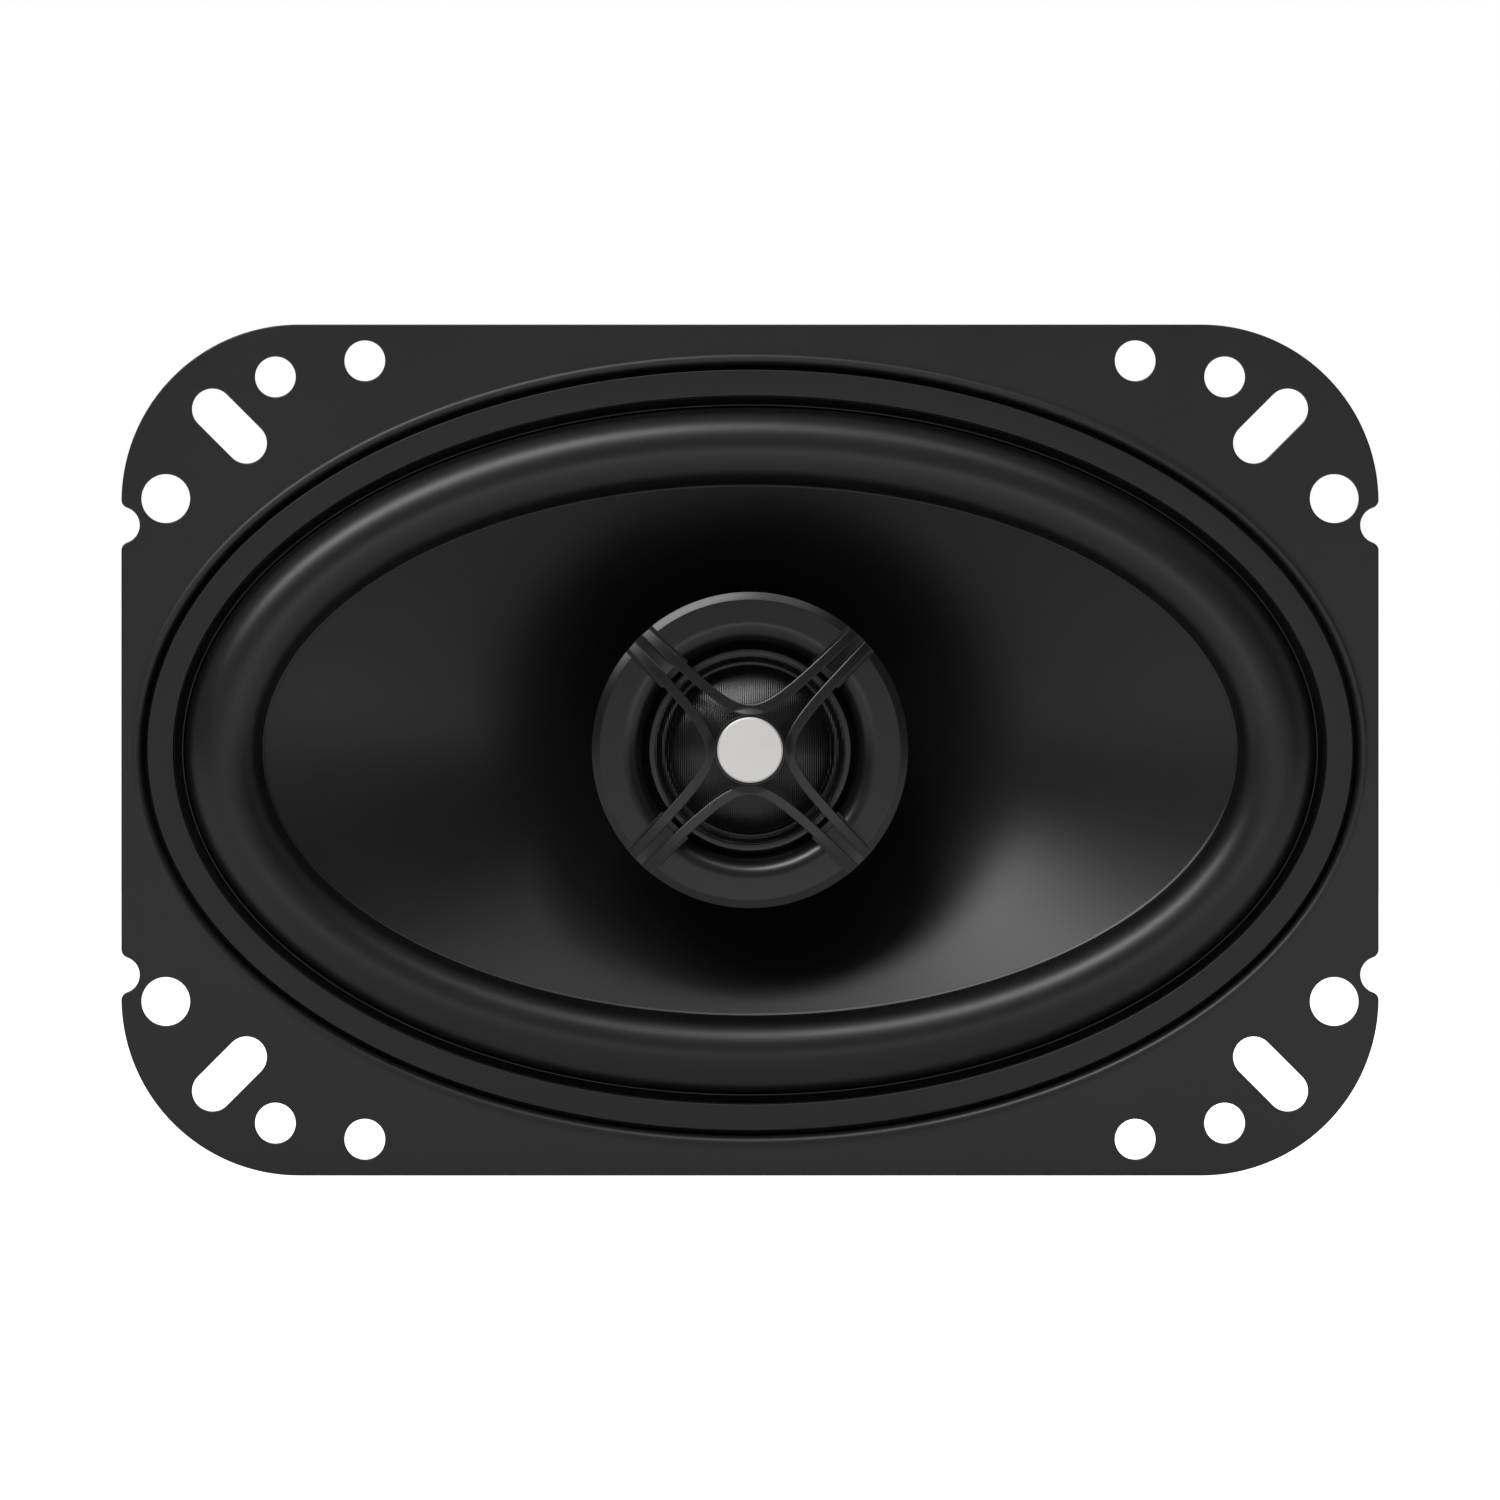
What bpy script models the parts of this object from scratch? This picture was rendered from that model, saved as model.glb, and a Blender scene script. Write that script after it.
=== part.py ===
"""A two-way coaxial car loudspeaker for a 4 by 6 inch panel opening.

The front faces -Y, +X is the long way of the plate and +Z is up. The origin is on the speaker's axis, in the
plane of the flange's rear face, which is the face that seats on a panel. Sizes below are in millimetres.
"""

import math

import bmesh
import bpy
from mathutils import Vector

MM = 0.001

# Mounting flange: a steel plate with round corners, lying between FLANGE_FRONT and y = 0.
FLANGE_LENGTH = 156.0
FLANGE_HEIGHT = 105.6
FLANGE_CORNER = 22.0
FLANGE_FRONT = -1.0
# Fixing holes of one quadrant, as (x, z, radius). The other quadrants mirror it.
ROUND_HOLES = ((47.8, 48.3, 2.53), (58.9, 46.3, 2.53), (72.5, 31.2, 3.03))
SLOT_CENTRE = (64.6, 40.2)
SLOT_RADIUS = 2.53
SLOT_BETWEEN_CENTRES = 6.0
NOTCH_HEIGHT = 27.9
NOTCH_RADIUS = 2.27

# The ovals of the recess, gasket and surround have their half length this much over their half height.
ELLIPSE_STRETCH = 27.6
RECESS_A = 75.4
RECESS_FLOOR = 1.4
FLOOR_INNER_A = 69.0
SHEET = 1.0

# Basket bowl, spider shelf and base.
SHELF_OUTER = 34.0
SHELF_INNER = 29.4
SHELF_FRONT = 21.6
BASE_OUTER = 28.4
BASE_HOLE = 15.0
BASE_FRONT = 27.0
WINDOWS = 8
WINDOW_HALF_ANGLE = 14.5
WINDOW_FRONT = 5.6
WINDOW_REAR = 19.0

# Gasket ring, surround and cone.
GASKET_OUTER_A = 74.8
GASKET_INNER_A = 71.0
GASKET_FRONT = -1.1
GASKET_REAR = 0.4
ROLL_OUTER_A = 70.4
ROLL_INNER_A = 60.6
ROLL_RISE = 4.4
ROLL_FOOT = 0.9
SURROUND_SKIN = 0.5
CONE_EDGE_A = 60.3
CONE_EDGE_Y = 1.0
CONE_NECK_RADIUS = 13.35
CONE_NECK_Y = 17.5
CONE_SKIN = 0.7
CONE_BOW = 1.6

# Motor.
FORMER_INNER = 12.75
FORMER_OUTER = 13.05
FORMER_FRONT = 16.8
FORMER_REAR = 34.6
WINDING_OUTER = 13.5
WINDING_FRONT = 26.3
WINDING_REAR = 34.3
SPIDER_Y = 21.1
SPIDER_WAVE = 0.9
SPIDER_SKIN = 0.4
TOP_PLATE_RADIUS = 33.0
TOP_PLATE_HOLE = 14.0
TOP_PLATE_FRONT = 28.3
TOP_PLATE_REAR = 32.3
MAGNET_RADIUS = 35.0
MAGNET_HOLE = 16.5
MAGNET_FRONT = 32.6
MAGNET_REAR = 44.6
POLE_RADIUS = 12.25
POLE_FRONT = 27.9
POLE_BORE = 4.3
YOKE_FRONT = 44.9
YOKE_REAR = 49.2
STAKE_CIRCLE = 22.0
STAKE_RADIUS = 1.4
STAKE_HOLE = 1.7

# Terminal board, seen behind the basket at its -X end.
BOARD_X = (-57.0, -36.5)
BOARD_HALF_HEIGHT = 12.0
BOARD_FRONT = 23.0
BOARD_REAR = 24.2
TERMINAL_Z = 8.5
TERMINAL_RIVET_X = -51.5
BOARD_RIVET_X = -41.0
BOARD_RIVET_Z = 3.6
RIVET_HOLE = 1.3
NARROW_BLADE = 4.75
WIDE_BLADE = 6.3
BLADE_FOOT_X = -49.2
BLADE_FOOT_HALF = 2.6
BLADE_NECK_X = -57.6
BLADE_TIP_X = -66.0
BLADE_HOLE_X = -62.0
CAPACITOR_X = -46.8
CAPACITOR_RADIUS = 4.0
CAPACITOR_HALF_LENGTH = 5.2

# Tweeter.
TWEETER_RADIUS = 19.6
BEZEL_FRONT = -6.0
BEZEL_INNER = 15.6
POCKET_RADIUS = 12.9
MOTOR_POCKET_RADIUS = 11.7
HOUSING_REAR = 8.0
DOME_RADIUS = 10.0
DOME_APEX = -4.4
DOME_RIM = -1.3
HUB_FRONT = -8.0
BADGE_RADIUS = 4.07
BADGE_SEAT_RADIUS = 4.4
ARM_HALF_WIDTH = 1.49
ARM_FLARE = 6.04
ARM_GROOVE = 0.525
CHANNEL_HALF_WIDTH = 2.3
GROOVE_START = 5.6
GROOVE_FLOOR_START = 13.95
POST_RADIUS = 5.4
POST_BORE = 2.6
POST_TAIL_RADIUS = 4.0
POST_TAIL_REAR = 51.5
WIRE_RADIUS = 0.5

LARGE_ROUND = 36
MEDIUM_ROUND = 24
SMALL_ROUND = 14


def clear_scene():
    for item in list(bpy.data.objects):
        bpy.data.objects.remove(item, do_unlink=True)


def material(name, colour, roughness, metallic=0.0):
    made = bpy.data.materials.new(name)
    made.use_nodes = True
    shader = made.node_tree.nodes["Principled BSDF"]
    shader.inputs["Base Color"].default_value = (*colour, 1.0)
    shader.inputs["Roughness"].default_value = roughness
    shader.inputs["Metallic"].default_value = metallic
    return made


def object_of(name, points, faces, finish):
    """A closed mesh object from points in millimetres, with its faces turned outwards."""
    mesh = bpy.data.meshes.new(name)
    mesh.from_pydata([Vector(point) * MM for point in points], [], faces)
    shape = bmesh.new()
    shape.from_mesh(mesh)
    bmesh.ops.recalc_face_normals(shape, faces=shape.faces)
    bmesh.ops.triangulate(shape, faces=[face for face in shape.faces if len(face.verts) == 4])
    if shape.calc_volume(signed=True) < 0:
        bmesh.ops.reverse_faces(shape, faces=shape.faces)
    shape.to_mesh(mesh)
    shape.free()
    mesh.shade_smooth()
    mesh.set_sharp_from_angle(angle=math.radians(35))
    mesh.materials.append(finish)
    made = bpy.data.objects.new(name, mesh)
    bpy.context.scene.collection.objects.link(made)
    return made


def ring_points(a, b, y, count):
    turns = [2 * math.pi * step / count for step in range(count)]
    return [(a * math.cos(turn), y, b * math.sin(turn)) for turn in turns]


def lofted(name, rings, finish, count, closed=True):
    """Joins rings (a, b, y) one after another: back to the first, or with a cap on each end."""
    points = []
    for a, b, y in rings:
        points += ring_points(a, b, y, count)
    faces = []
    for row in range(len(rings) if closed else len(rings) - 1):
        here, following = row * count, (row + 1) % len(rings) * count
        for step in range(count):
            after = (step + 1) % count
            faces.append((here + step, here + after, following + after, following + step))
    if not closed:
        last = (len(rings) - 1) * count
        faces.append(tuple(range(count)))
        faces.append(tuple(range(last, last + count)))
    return object_of(name, points, faces, finish)


def turned(name, profile, finish, count=MEDIUM_ROUND, closed=True):
    """A turned piece on the Y axis from its profile of (radius, y)."""
    return lofted(name, [(radius, radius, y) for radius, y in profile], finish, count, closed)


def disc(name, radius, front, rear, finish, count=MEDIUM_ROUND, edge=0.3):
    profile = [(radius - edge, front), (radius, front + edge), (radius, rear - edge), (radius - edge, rear)]
    return turned(name, profile, finish, count, closed=False)


def washer(name, inner, outer, front, rear, finish, count=MEDIUM_ROUND):
    return turned(name, [(inner, front), (outer, front), (outer, rear), (inner, rear)], finish, count)


def moved(item, x, z):
    item.location = (x * MM, 0.0, z * MM)
    return item


def prism(name, outline, front, rear, finish):
    """An outline of (x, z) carried from y = front to y = rear."""
    count = len(outline)
    points = [(x, front, z) for x, z in outline] + [(x, rear, z) for x, z in outline]
    faces = [tuple(range(count)), tuple(range(count, 2 * count))]
    for step in range(count):
        after = (step + 1) % count
        faces.append((step, after, count + after, count + step))
    return object_of(name, points, faces, finish)


def round_rectangle(length, height, corner, steps, centre=(0.0, 0.0)):
    outline = []
    centres = ((1, 1), (-1, 1), (-1, -1), (1, -1))
    for quadrant, (side_x, side_z) in enumerate(centres):
        for step in range(steps + 1):
            turn = math.radians(90 * (quadrant + step / steps))
            x = side_x * (length / 2 - corner) + corner * math.cos(turn)
            z = side_z * (height / 2 - corner) + corner * math.sin(turn)
            outline.append((centre[0] + x, centre[1] + z))
    return outline


def circle(x, z, radius, count):
    turns = [2 * math.pi * (step + 0.5) / count for step in range(count)]
    return [(x + radius * math.cos(turn), z + radius * math.sin(turn)) for turn in turns]


def slot_outline(x, z, radius, between, angle, steps=5):
    """A slot with round ends, along the given angle in degrees."""
    outline = []
    along = math.radians(angle)
    for end in (1, -1):
        for step in range(steps + 1):
            turn = along + math.radians(-90 + 180 * step / steps) + (0 if end == 1 else math.pi)
            centre_x = x + end * between / 2 * math.cos(along)
            centre_z = z + end * between / 2 * math.sin(along)
            outline.append((centre_x + radius * math.cos(turn), centre_z + radius * math.sin(turn)))
    return outline


def as_cutter(item):
    item.hide_render = True
    item.display_type = "WIRE"
    return item


def joined(name, pieces):
    """One cutter object from several separate closed ones."""
    shape = bmesh.new()
    for piece in pieces:
        piece.data.transform(piece.matrix_basis)
        shape.from_mesh(piece.data)
        bpy.data.objects.remove(piece, do_unlink=True)
    mesh = bpy.data.meshes.new(name)
    shape.to_mesh(mesh)
    shape.free()
    made = bpy.data.objects.new(name, mesh)
    bpy.context.scene.collection.objects.link(made)
    return as_cutter(made)


def boolean(item, other, operation):
    modifier = item.modifiers.new(other.name, "BOOLEAN")
    modifier.object = other
    modifier.operation = operation
    modifier.solver = "EXACT"


def smooth_route(route, spacing):
    """Points at about the given spacing on a smooth curve through the route's own points."""
    knots = [Vector(point) for point in route]
    padded = [2 * knots[0] - knots[1], *knots, 2 * knots[-1] - knots[-2]]
    found = [knots[0]]
    for before, start, end, after in zip(padded, padded[1:], padded[2:], padded[3:]):
        steps = max(1, round((end - start).length / spacing))
        for step in range(1, steps + 1):
            t = step / steps
            bend = 2 * before - 5 * start + 4 * end - after
            twist = 3 * start - before - 3 * end + after
            found.append(0.5 * (2 * start + (end - before) * t + bend * t**2 + twist * t**3))
    return found


def wire(name, route, radius, finish, spacing=3.0):
    curve = bpy.data.curves.new(name, "CURVE")
    curve.dimensions = "3D"
    curve.bevel_depth = radius * MM
    curve.bevel_resolution = 2
    curve.use_fill_caps = True
    path = smooth_route(route, spacing)
    spline = curve.splines.new("POLY")
    spline.points.add(len(path) - 1)
    for knot, point in zip(spline.points, path):
        knot.co = (*(point * MM), 1.0)
    curve.materials.append(finish)
    made = bpy.data.objects.new(name, curve)
    bpy.context.scene.collection.objects.link(made)
    return made


def stretched(half_length, y):
    """One ring of the family that the recess, gasket, surround and cone edge belong to."""
    return (half_length, half_length - ELLIPSE_STRETCH, y)


def flange_cutters():
    opening = [stretched(RECESS_A + 1.0, -3), stretched(RECESS_A + 1.0, 2)]
    pieces = [lofted("opening", opening, STEEL, LARGE_ROUND, closed=False)]
    for side_x in (1, -1):
        for side_z in (1, -1):
            for x, z, radius in ROUND_HOLES:
                hole = circle(side_x * x, side_z * z, radius, 14)
                pieces.append(prism("hole", hole, -3, 2, STEEL))
            slot = slot_outline(
                side_x * SLOT_CENTRE[0],
                side_z * SLOT_CENTRE[1],
                SLOT_RADIUS,
                SLOT_BETWEEN_CENTRES,
                45 * side_x * side_z,
            )
            pieces.append(prism("slot", slot, -3, 2, STEEL))
            notch = circle(side_x * FLANGE_LENGTH / 2, side_z * NOTCH_HEIGHT, NOTCH_RADIUS, 14)
            pieces.append(prism("notch", notch, -3, 2, STEEL))
    return joined("flange_cutters", pieces)


def window_cutters():
    """Radial wedges with clipped corners, one for each window of the bowl."""
    pieces = []
    half, clip = math.radians(WINDOW_HALF_ANGLE), 0.3
    left = [(clip - 1, 0), (-1, clip), (-1, 1 - clip), (clip - 1, 1)]
    right = [(1 - clip, 1), (1, 1 - clip), (1, clip), (1 - clip, 0)]
    corners = left + right
    for index in range(WINDOWS):
        middle = 2 * math.pi * (index + 0.5) / WINDOWS
        points = []
        for reach in (20.0, 90.0):
            for across, along in corners:
                turn = middle + across * half
                y = WINDOW_FRONT + along * (WINDOW_REAR - WINDOW_FRONT)
                points.append((reach * math.cos(turn), y, reach * math.sin(turn)))
        count = len(corners)
        faces = [tuple(range(count)), tuple(range(count, 2 * count))]
        for step in range(count):
            after = (step + 1) % count
            faces.append((step, after, count + after, count + step))
        pieces.append(object_of("window", points, faces, STEEL))
    return joined("window_cutters", pieces)


def stake_cutters():
    """Holes for the four stakes, through the basket's base and the top plate."""
    holes = [prism("hole", circle(x, z, STAKE_HOLE, 12), 24, 34, STEEL) for x, z in stake_places()]
    return joined("stake_cutters", holes)


def stake_places():
    turns = [math.radians(45 + 90 * index) for index in range(4)]
    return [(STAKE_CIRCLE * math.cos(turn), STAKE_CIRCLE * math.sin(turn)) for turn in turns]


def rivet_holes(x, z):
    """Cutters for a pair of rivet holes at x, above and below the middle."""
    return [prism("hole", circle(x, side * z, RIVET_HOLE, 12), 20, 28, STEEL) for side in (-1, 1)]


def make_basket(stake_holes):
    """Pressed steel: flange, stepped recess, a bowl with eight windows, the spider shelf and the base."""
    outline = round_rectangle(FLANGE_LENGTH, FLANGE_HEIGHT, FLANGE_CORNER, 8)
    basket = prism("basket", outline, FLANGE_FRONT, 0.0, STEEL)
    boolean(basket, flange_cutters(), "DIFFERENCE")
    floor, back = RECESS_FLOOR, RECESS_FLOOR + SHEET
    rings = [
        stretched(RECESS_A + 1.8, -0.75),
        stretched(RECESS_A + 0.6, -0.75),
        stretched(RECESS_A, -0.2),
        stretched(RECESS_A, floor),
        stretched(FLOOR_INNER_A + 0.4, floor),
        stretched(FLOOR_INNER_A - 0.4, floor + 0.5),
        (SHELF_OUTER, SHELF_OUTER, SHELF_FRONT),
        (SHELF_INNER, SHELF_INNER, SHELF_FRONT),
        (BASE_OUTER, BASE_OUTER, SHELF_FRONT + 1),
        (BASE_OUTER - 1.2, BASE_OUTER - 1.2, BASE_FRONT),
        (BASE_HOLE, BASE_HOLE, BASE_FRONT),
        (BASE_HOLE, BASE_HOLE, BASE_FRONT + SHEET),
        (BASE_OUTER, BASE_OUTER, BASE_FRONT + SHEET),
        (BASE_OUTER + 1.2, BASE_OUTER + 1.2, SHELF_FRONT + SHEET + 0.4),
        (SHELF_INNER + 1.0, SHELF_INNER + 1.0, SHELF_FRONT + SHEET),
        (SHELF_OUTER, SHELF_OUTER, SHELF_FRONT + SHEET),
        (SHELF_OUTER + 1.2, SHELF_OUTER + 1.2, SHELF_FRONT + 0.2),
        stretched(FLOOR_INNER_A + 0.6, back + 0.4),
        stretched(FLOOR_INNER_A + 1.4, back),
        stretched(RECESS_A + 1.0, back),
        stretched(RECESS_A + 1.0, 0.4),
        stretched(RECESS_A + 1.8, -0.15),
    ]
    bowl = lofted("bowl_shell", rings, STEEL, LARGE_ROUND)
    boolean(bowl, window_cutters(), "DIFFERENCE")
    boolean(bowl, stake_holes, "DIFFERENCE")
    boolean(basket, as_cutter(bowl), "UNION")
    tab_outline = round_rectangle(13.0, 12.0, 2.0, 3, (-38.2, 0.0))
    tab = prism("terminal_tab", tab_outline, SHELF_FRONT + 0.1, SHELF_FRONT + 0.9, STEEL)
    boolean(basket, as_cutter(tab), "UNION")
    boolean(basket, joined("board_rivet_cutters", rivet_holes(BOARD_RIVET_X, BOARD_RIVET_Z)), "DIFFERENCE")
    return basket


def make_gasket_ring():
    rings = [
        stretched(GASKET_OUTER_A, GASKET_FRONT + 0.2),
        stretched(GASKET_OUTER_A - 0.2, GASKET_FRONT),
        stretched(GASKET_INNER_A + 0.8, GASKET_FRONT),
        stretched(GASKET_INNER_A + 0.2, GASKET_FRONT + 0.35),
        stretched(GASKET_INNER_A, GASKET_FRONT + 0.8),
        stretched(GASKET_INNER_A, GASKET_REAR),
        stretched(GASKET_OUTER_A, GASKET_REAR),
    ]
    return lofted("gasket_ring", rings, FIBRE, LARGE_ROUND)


def make_surround():
    """One half roll, with a flat landing under the gasket ring and a lip glued behind the cone's edge."""
    middle = (ROLL_OUTER_A + ROLL_INNER_A) / 2
    half = (ROLL_OUTER_A - ROLL_INNER_A) / 2
    front, rear = [], []
    for step in range(6):
        turn = math.pi * step / 5
        front.append(stretched(middle + half * math.cos(turn), ROLL_FOOT - ROLL_RISE * math.sin(turn)))
        inner_rise = (ROLL_RISE - SURROUND_SKIN) * math.sin(turn)
        rear.append(stretched(middle + (half - SURROUND_SKIN) * math.cos(turn), ROLL_FOOT - inner_rise))
    landing = stretched(GASKET_OUTER_A - 0.6, ROLL_FOOT - 0.2)
    landing_rear = stretched(GASKET_OUTER_A - 0.6, ROLL_FOOT + 0.2)
    foot_front = stretched(ROLL_OUTER_A + 0.3, ROLL_FOOT - 0.2)
    foot_rear = stretched(ROLL_OUTER_A - 0.4, ROLL_FOOT + 0.2)
    lip_top = stretched(ROLL_INNER_A + 0.05, CONE_EDGE_Y + 1.2)
    lip_end = (57.5, 31.6, CONE_EDGE_Y + 2.3)
    lip_end_rear = (57.5, 31.6, CONE_EDGE_Y + 2.7)
    lip_rear = stretched(ROLL_INNER_A + 0.5, CONE_EDGE_Y + 1.6)
    rings = [landing, foot_front, *front, lip_top, lip_end]
    rings += [lip_end_rear, lip_rear, *rear[::-1], foot_rear, landing_rear]
    return lofted("surround", rings, RUBBER, LARGE_ROUND)


def cone_front(share):
    """The cone's front at a share of the way from edge (0) to neck (1), bowed a little towards the front."""
    a = CONE_EDGE_A + (CONE_NECK_RADIUS - CONE_EDGE_A) * share
    edge_b = CONE_EDGE_A - ELLIPSE_STRETCH
    b = edge_b + (CONE_NECK_RADIUS - edge_b) * share
    straight = CONE_EDGE_Y + (CONE_NECK_Y - CONE_EDGE_Y) * share
    return a, b, straight - CONE_BOW * math.sin(math.pi * share)


def make_cone():
    shares = [step / 5 for step in range(6)]
    front = [cone_front(share) for share in shares]
    rear = [(a, b, y + CONE_SKIN) for a, b, y in front]
    return lofted("cone", front + rear[::-1], PAPER, LARGE_ROUND)


def make_spider():
    """A corrugated centring disc: collar on the former, waves, and a flat landing on the shelf."""
    front = [(FORMER_OUTER + 0.2, SPIDER_Y - 0.6), (FORMER_OUTER + 1.2, SPIDER_Y - 0.3)]
    start, end, waves = FORMER_OUTER + 2.0, SHELF_INNER + 0.4, 3
    for step in range(waves * 4 + 1):
        share = step / (waves * 4)
        wave = 0.8 * SPIDER_WAVE * math.sin(2 * math.pi * waves * share)
        front.append((start + (end - start) * share, SPIDER_Y - wave))
    front.append((SHELF_OUTER - 1.0, SPIDER_Y))
    rear = [(radius, y + SPIDER_SKIN * 0.4) for radius, y in front]
    front = [(radius, y - SPIDER_SKIN * 0.6) for radius, y in front]
    return turned("spider", front + rear[::-1], CLOTH, MEDIUM_ROUND)


def make_voice_coil():
    washer("voice_coil_former", FORMER_INNER, FORMER_OUTER, FORMER_FRONT, FORMER_REAR, FOIL)
    washer("voice_coil_winding", FORMER_OUTER + 0.1, WINDING_OUTER, WINDING_FRONT, WINDING_REAR, COPPER)


def make_motor(stake_holes):
    plate = washer("top_plate", TOP_PLATE_HOLE, TOP_PLATE_RADIUS, TOP_PLATE_FRONT, TOP_PLATE_REAR, PLATED)
    boolean(plate, stake_holes, "DIFFERENCE")
    chamfer = 1.0
    magnet = [
        (MAGNET_HOLE, MAGNET_FRONT),
        (MAGNET_RADIUS - chamfer, MAGNET_FRONT),
        (MAGNET_RADIUS, MAGNET_FRONT + chamfer),
        (MAGNET_RADIUS, MAGNET_REAR - chamfer),
        (MAGNET_RADIUS - chamfer, MAGNET_REAR),
        (MAGNET_HOLE, MAGNET_REAR),
    ]
    turned("ferrite_magnet", magnet, FERRITE)
    yoke = [
        (POLE_BORE, POLE_FRONT),
        (POLE_RADIUS, POLE_FRONT),
        (POLE_RADIUS, YOKE_FRONT),
        (TOP_PLATE_RADIUS, YOKE_FRONT),
        (TOP_PLATE_RADIUS, YOKE_REAR - 0.8),
        (TOP_PLATE_RADIUS - 0.8, YOKE_REAR),
        (POLE_BORE, YOKE_REAR),
    ]
    turned("yoke_and_pole", yoke, PLATED)
    for index, (x, z) in enumerate(stake_places(), 1):
        head, shank = STAKE_RADIUS + 1.2, STAKE_RADIUS
        profile = [(head - 0.4, 25.8), (head, 26.2), (head, 26.7), (shank, 26.7), (shank, 32.0)]
        moved(turned(f"basket_stake_{index}", profile, PLATED, 12, closed=False), x, z)


def make_terminals():
    length = BOARD_X[1] - BOARD_X[0]
    centre = ((BOARD_X[0] + BOARD_X[1]) / 2, 0.0)
    outline = round_rectangle(length, 2 * BOARD_HALF_HEIGHT, 1.5, 3, centre)
    board = prism("terminal_board", outline, BOARD_FRONT, BOARD_REAR, PHENOLIC)
    holes = rivet_holes(BOARD_RIVET_X, BOARD_RIVET_Z) + rivet_holes(TERMINAL_RIVET_X, TERMINAL_Z)
    boolean(board, joined("board_cutters", holes), "DIFFERENCE")
    for side, name in ((-1, "board_rivet_lower"), (1, "board_rivet_upper")):
        rivet = [(2.0, BOARD_REAR + 1.0), (2.0, BOARD_REAR + 0.3), (1.0, BOARD_REAR + 0.3), (1.0, 20.9)]
        moved(turned(name, rivet, PLATED, 12, closed=False), BOARD_RIVET_X, side * BOARD_RIVET_Z)
    blades = ((-1, NARROW_BLADE, "terminal_negative"), (1, WIDE_BLADE, "terminal_positive"))
    for side, width, name in blades:
        tab_z = side * TERMINAL_Z
        upper = [
            (BLADE_FOOT_X, BLADE_FOOT_HALF),
            (BLADE_NECK_X, BLADE_FOOT_HALF),
            (BLADE_NECK_X - 0.8, width / 2),
            (BLADE_TIP_X + 1.0, width / 2),
            (BLADE_TIP_X, width / 2 - 0.9),
        ]
        lower = [(x, -z) for x, z in upper[::-1]]
        outline = [(x, tab_z + z) for x, z in upper + lower]
        tab = prism(name, outline, BOARD_REAR + 0.3, BOARD_REAR + 1.1, TINNED)
        holes = [
            prism("hole", circle(TERMINAL_RIVET_X, tab_z, RIVET_HOLE, 12), 22, 28, STEEL),
            prism("hole", circle(BLADE_HOLE_X, tab_z, 0.8, 12), 22, 28, STEEL),
        ]
        boolean(tab, joined(name + "_cutters", holes), "DIFFERENCE")
    for side, name in ((-1, "terminal_rivet_negative"), (1, "terminal_rivet_positive")):
        rear = BOARD_REAR + 1.4
        rivet = [(1.7, rear + 0.7), (2.0, rear), (1.0, rear), (1.0, 22.2)]
        moved(turned(name, rivet, PLATED, 12, closed=False), TERMINAL_RIVET_X, side * TERMINAL_Z)


def make_capacitor():
    y, half = BOARD_REAR + 0.4 + CAPACITOR_RADIUS, CAPACITOR_HALF_LENGTH
    profile = [
        (CAPACITOR_RADIUS - 0.5, -half),
        (CAPACITOR_RADIUS, -half + 0.5),
        (CAPACITOR_RADIUS, half - 0.5),
        (CAPACITOR_RADIUS - 0.5, half),
    ]
    can = turned("crossover_capacitor", profile, SLEEVE, SMALL_ROUND, closed=False)
    can.rotation_euler = (math.radians(90), 0.0, 0.0)
    can.location = (CAPACITOR_X * MM, y * MM, 0.0)
    for side, name in ((-1, "capacitor_lead_negative"), (1, "capacitor_lead_positive")):
        route = [
            (CAPACITOR_X, y, side * (half + 0.3)),
            (CAPACITOR_X, y - 0.1, side * (half + 1.3)),
            (CAPACITOR_X, y - 1.0, side * (half + 2.2)),
            (CAPACITOR_X, y - 2.4, side * (half + 2.5)),
            (CAPACITOR_X, BOARD_REAR + 0.35, side * (half + 2.5)),
        ]
        wire(name, route, 0.35, TINNED, 0.9)


def make_tinsel_leads():
    for side, name in ((-1, "tinsel_lead_negative"), (1, "tinsel_lead_positive")):
        route = [
            (-22.3, 15.9, side * 6.0),
            (-25.0, 17.3, side * 7.2),
            (-30.5, 17.6, side * 9.2),
            (-37.0, 16.4, side * 11.0),
            (-42.5, 16.6, side * 11.4),
            (-47.5, 18.6, side * 10.2),
            (-49.2, 21.0, side * 9.0),
            (-49.4, BOARD_FRONT - 0.35, side * TERMINAL_Z),
        ]
        wire(name, route, 0.6, TINSEL, 2.0)


def make_tweeter_wires():
    pair = ((-1, BLACK_WIRE, "tweeter_wire_negative"), (1, RED_WIRE, "tweeter_wire_positive"))
    for side, finish, name in pair:
        z = side * 1.15
        route = [
            (0.0, 6.5, z),
            (0.0, 20.0, z),
            (0.0, 36.0, z),
            (0.0, 50.0, z),
            (-1.2, 52.6, z),
            (-4.4, 53.7, z),
            (-8.0, 53.0, z),
            (-11.0, 51.0, z),
            (-15.0, 50.1, z),
            (-24.0, 50.1, z),
            (-31.0, 50.3, z),
            (-34.9, 48.7, z),
            (-36.3, 45.2, 1.1 * z),
            (-36.5, 39.0, 1.5 * z),
            (-36.6, 33.0, 3.0 * z),
            (-38.2, 28.6, 5.3 * z),
            (-42.5, 27.0, 7.2 * z),
            (-46.8, 26.9, 7.9 * z),
            (-49.6, 26.0, 7.6 * z),
        ]
        wire(name, route, WIRE_RADIUS, finish)


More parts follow.
